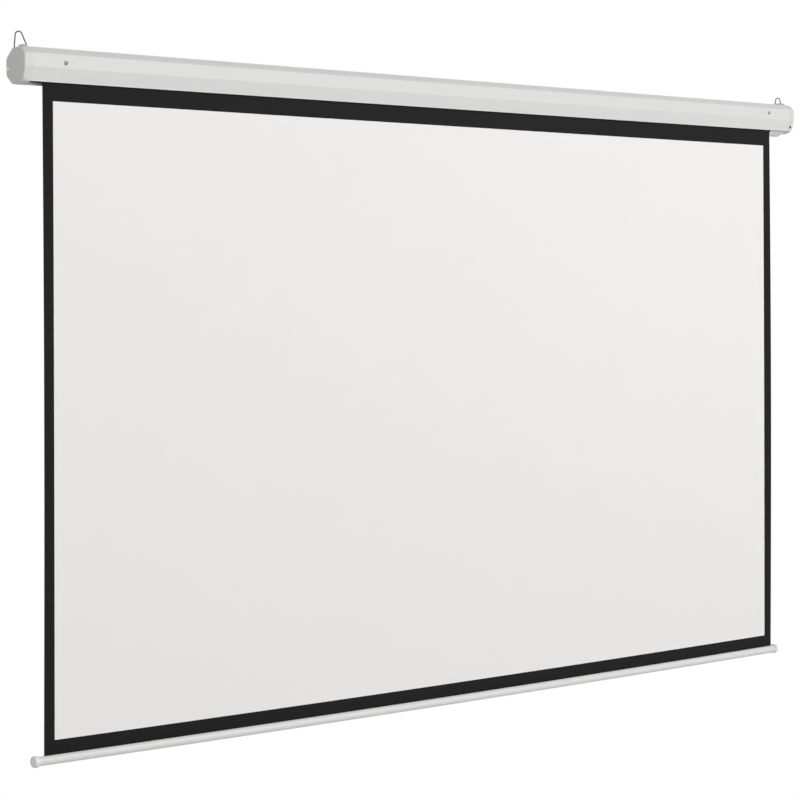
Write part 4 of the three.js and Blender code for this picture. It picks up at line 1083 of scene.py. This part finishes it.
def build_bar_cap(side, name):
    tip = BAR_MIDDLE + side * BAR_HALF
    mouth = tip - side * BAR_CAP_LENGTH
    hole = BAR_RADIUS + 0.2 * MM
    edge = [
        (BAR_CAP_RADIUS - BAR_CAP_EDGE + out, tip + side * (along - BAR_CAP_EDGE))
        for along, out in arc(BAR_CAP_EDGE, 0, math.pi / 2, 8)
    ]
    floor = tip - side * BAR_CAP_END
    lip = 0.5 * MM
    profile = [
        (0, tip),
        *edge,
        (BAR_CAP_RADIUS, mouth + side * lip),
        (BAR_CAP_RADIUS - lip, mouth),
        (hole, mouth),
        (hole, floor),
        (0, floor),
    ]
    mesh = turned(profile, CLOTH_Y, BAR_Z - sag_at(mouth, BAR_SAG))
    return finish(mesh, name + "_tube_cap", white_cap, "bar", [name + "_bar_cap"])


for side, name in SIDES:
    print(build_bar_cap(side, name).name)

# %% [markdown]
# ## Hanging loops
# Each loop is one piece of spring wire bent to a tall rounded triangle and butted at the foot. It
# follows a path, so a second tree gives a closed curve the round section of the wire. Both are
# turned a little out of the wall's plane. The left loop is drawn up and leans outwards; the right
# one rests lower in its slot.

# %% Hanging loops
LOOP_HEIGHT = 32.3 * MM
LOOP_LEAN = math.radians(14.4)
LOOP_FOOT_BEND = 3 * MM


def wire_tree():
    inputs = {"Path": "Object", "Thickness": "Float", "Material": "Material"}
    tree, given = new_tree("bent_wire", inputs)
    path = add(tree, "GeometryNodeObjectInfo", {"Object": given["Path"]}).outputs["Geometry"]
    radius = add(tree, "ShaderNodeMath", {0: given["Thickness"], 1: 0.5}, operation="MULTIPLY")
    ring = add(tree, "GeometryNodeCurvePrimitiveCircle", {"Resolution": 14, "Radius": radius})
    inputs = {"Curve": path, "Profile Curve": ring}
    return end_tree(tree, add(tree, "GeometryNodeCurveToMesh", inputs), given)


def loop_path(place, tilt):
    foot = LOOP_FOOT / 2
    peak = foot / math.tan(LOOP_LEAN)
    top_radius = (peak - LOOP_HEIGHT) / (1 / math.sin(LOOP_LEAN) - 1)
    feet = [bend(x, 0, LOOP_FOOT_BEND) for x in (-foot, foot)]
    flat = rounded([feet[0], bend(0, peak, top_radius), feet[1]], 12)
    lean = Matrix.Rotation(-LOOP_TURN, 3, "Z") @ Matrix.Rotation(-tilt, 3, "Y")
    return closed_curve([lean @ Vector((p.x, 0, p.y)) + place for p in flat], "3D")


wire = wire_tree()
for name, x, z, tilt in (
    ("left", -LOOP_X - LOOP_SHIFT, TOP - 1.5 * MM, math.radians(9.5)),
    ("right", LOOP_X, LOOP_LOWERED, math.radians(1.5)),
):
    path = loop_path(Vector((x, LOOP_Y, z)), tilt)
    mesh = run_tree(wire, Path=path, Thickness=LOOP_WIRE, Material=drawn_wire)
    loop = finish(
        mesh, name + "_wire_loop", drawn_wire, name + "_loop", [name + "_hanging_loop"],
    )
    print(loop.name, len(loop.data.polygons), "faces")

# %% [markdown]
# ## Screws
# All screws are pan heads with a cross recess. One head is turned and its recess cut, and a third
# tree sets copies of it on a line of points, turned to face outwards, one object for each group.

# %% Screws
def screw_mesh(head, height, shank, length, slot):
    """A pan head screw on the X axis with its seat at 0 and its head towards -X."""
    dome = [(head * out, -height * (0.35 + 0.65 * up)) for up, out in arc(1, 0, math.pi / 2, 8)]
    profile = [
        *dome,
        (head, 0),
        (shank, 0),
        (shank, length - shank),
        (shank / 2, length),
        (0, length),
    ]
    top, floor = -height * 1.1, shank * 0.25
    arm, half = head * 0.55, slot / 2
    cross = [
        box_form((top, -arm, -half), (floor, arm, half)),
        box_form((top, -half, -arm), (floor, half, arm)),
    ]
    return carved(turned(profile, 0, 0, 32), cross)


def screw_tree():
    inputs = {"Screw": "Object", "First": "Vector", "Last": "Vector", "Count": "Int"}
    inputs.update({"Turn": "Rotation", "Material": "Material"})
    tree, given = new_tree("screw_row", inputs)
    inputs = {"Count": given["Count"], "Start Location": given["First"], "Offset": given["Last"]}
    row = add(tree, "GeometryNodeMeshLine", inputs, mode="END_POINTS")
    screw = add(tree, "GeometryNodeObjectInfo", {"Object": given["Screw"]}).outputs["Geometry"]
    inputs = {"Points": row, "Instance": screw, "Rotation": given["Turn"]}
    return end_tree(tree, add(tree, "GeometryNodeInstanceOnPoints", inputs), given)


screws = screw_tree()
# Radius and height of the head, radius and length of the shank, width of the slot, in mm.
CASE_SCREW = (4, 2.2, 2, 8, 1.7)
CAP_SCREW = (3.5, 1.9, 1.75, 20, 0.8)
SIDE_SCREW = (3.2, 1.7, 1.6, 6, 0.7)
HALF_TURN = math.pi
QUARTER = math.pi / 2


def set_screws(name, size, places, turn, material, nodes):
    """Screws of one size on a line of places, as one piece."""
    pattern = linked("screw", screw_mesh(*[mm * MM for mm in size]))
    mesh = run_tree(
        screws, Screw=pattern, First=places[0], Last=places[-1], Count=len(places), Turn=turn,
        Material=material,
    )
    return finish(mesh, name, material, "case", nodes)


SEAT = Vector((0, SEAM, 0))
# The front screws take zinc that is darkened all over, as painted shade for their recess.
front_screws = set_screws(
    "case_screw_heads", CASE_SCREW, [place - SEAT for place in case_screws], (0, 0, QUARTER),
    zinc_darkened_for_recess_shade, ["left_case_screw", "right_case_screw"],
)
for side, name in SIDES:
    place = (side * (CAP_END - SEAT_DEPTH + SEAM), CAP_SCREW_Y, CAP_SCREW_Z)
    set_screws(
        name + "_cap_screw_head", CAP_SCREW, [place], (0, 0, HALF_TURN if side > 0 else 0),
        satin_nickel, [name + "_cap_screw"],
    )
set_screws(
    "cap_side_screw_head", SIDE_SCREW, [on_skirt(SEAM)], (SKIRT_TURN, 0, QUARTER), drawn_wire,
    ["right_cap_side_screw"],
)
print("screws", front_screws.name, len(front_screws.data.polygons), "faces")

# %% [markdown]
# ## Roller
# Looking up through the slot one sees the ends of the aluminium tube and the first turns of cloth
# on it. The tube is a profile spun about the roller's axis, finer than the CAD's. The cloth is a
# thin spiral strip, so that its end faces show the turns.

# %% Roller
TUBE_LEFT, TUBE_RIGHT = ends("roller_tube")
TUBE_RADIUS = 19 * MM
TUBE_BORE = 18 * MM
TUBE_EDGE = 0.2 * MM
INNER_TURN, OUTER_TURN = 19.3 * MM, 20.1 * MM


def on_axis(name, profile, material, node):
    """A sleeve turned about the roller's axis, which goes round with the roller."""
    mesh = turned(profile, AXIS_Y, 0, hollow=True)
    return finish(mesh, name, material, "roller", [node])


def cloth_roll():
    """Two turns of cloth wound round the tube, as one spiral strip."""
    turns, steps = 2, 96
    depth = OUTER_TURN - INNER_TURN
    cloth = depth / turns * 0.9
    inside, outside = [], []
    for i in range(turns * steps + 1):
        angle = math.pi - 2 * math.pi * i / steps
        radius = OUTER_TURN - (depth - cloth) * i / (turns * steps)
        for points, r in ((outside, radius), (inside, radius - cloth)):
            points.append((AXIS_Y + r * math.cos(angle), r * math.sin(angle)))
    outline = outside + inside[::-1]
    mesh = skinned([[(x, y, z) for y, z in outline] for x in (SHEET_LEFT, SHEET_RIGHT)])
    lay_flat(mesh, lambda point: (point.x, math.atan2(point.z, point.y - AXIS_Y) * OUTER_TURN))
    return finish(mesh, "cloth_on_roller", white_cloth, "roller", ["fabric_wraps"])


barrel = [
    (TUBE_BORE, TUBE_LEFT),
    (TUBE_RADIUS - TUBE_EDGE, TUBE_LEFT),
    (TUBE_RADIUS, TUBE_LEFT + TUBE_EDGE),
    (TUBE_RADIUS, TUBE_RIGHT - TUBE_EDGE),
    (TUBE_RADIUS - TUBE_EDGE, TUBE_RIGHT),
    (TUBE_BORE, TUBE_RIGHT),
]
on_axis("roller_barrel", barrel, extruded_aluminium, "roller_tube")
cloth_roll()
print("roller from", round(TUBE_LEFT, 4), "to", round(TUBE_RIGHT, 4))

# %% [markdown]
# ## Plug and crown
# A moulded plug in the tube's left end runs on the pin, and a crown in its right end counts the
# turns for the motor. Both are sleeves with a collar that stands against the tube.

# %% Plug and crown
COLLAR = 21 * MM
COLLAR_EDGE = 1 * MM
SLEEVE = 17.7 * MM
TUBE_GAP = 0.3 * MM


def collared(hole, face, shoulder, end):
    """A profile from the collar's outer face, over its shoulder, to the sleeve's end."""
    inwards = math.copysign(COLLAR_EDGE, end - face)
    return [
        (hole, face),
        (COLLAR - COLLAR_EDGE, face),
        (COLLAR, face + inwards),
        (COLLAR, shoulder),
        (SLEEVE, shoulder),
        (SLEEVE, end),
        (hole, end),
    ]


plug_left, plug_right = ends("idler_plug")
crown_left, crown_right = ends("crown_wheel")
plug = collared(7.6 * MM, plug_left, TUBE_LEFT - TUBE_GAP, plug_right)
crown = collared(16.3 * MM, crown_right, TUBE_RIGHT + TUBE_GAP, crown_left)
on_axis("left_roller_plug", plug, black_nylon, "idler_plug")
on_axis("right_roller_crown", crown, black_nylon, "crown_wheel")
print("collars at", round(plug_left, 4), "and", round(crown_right, 4))

# %% [markdown]
# ## Cable inlet
# The mains cable enters at the motor's end through a nylon gland: a flange, a tapered nose and a
# bore. No cable is in the photograph, so the gland is empty.

# %% Cable inlet
GLAND_BORE = 3.6 * MM
GLAND_NECK = 6 * MM
flange_x = gland_high.x - 6 * MM
gland_profile = [
    (GLAND_BORE, gland_low.x),
    (GLAND_NECK, gland_low.x),
    (GLAND_NECK, flange_x),
    (8.5 * MM, flange_x),
    (8.5 * MM, flange_x + 1.3 * MM),
    (7.8 * MM, flange_x + 2 * MM),
    (5.2 * MM, flange_x + 2 * MM),
    (4.6 * MM, gland_high.x - 1 * MM),
    (3.9 * MM, gland_high.x),
    (GLAND_BORE, gland_high.x),
]
gland = turned(gland_profile, GLAND_Y, GLAND_Z, 48, hollow=True)
finish(gland, "nylon_cable_gland", black_nylon, "case", ["cable_gland"])
print("gland at", round(GLAND_Y, 4), round(GLAND_Z, 4))

# %% [markdown]
# ## Finishes of the nodes that stay
# The end plates and the motor's parts have their right shape in the CAD already, so they only get
# their finish.

# %% Finishes
node_finishes = (
    (cream_paint, "left_bracket right_bracket"),
    (turned_brass, "idler_bush up_limit_screw down_limit_screw"),
    (bright_steel, "idler_pin motor_stator motor_shaft head_screw_front head_screw_rear"),
    (black_nylon, "drive_wheel motor_head cable_gland_nut"),
    (grey_nylon, "motor_gearbox motor_brake motor_capacitor"),
    (zinc_plate, "motor_tube"),
)
for material, names in node_finishes:
    for name in names.split():
        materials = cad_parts[name].data.materials
        materials.clear()
        materials.append(material)
    print(material.name, "on", names)
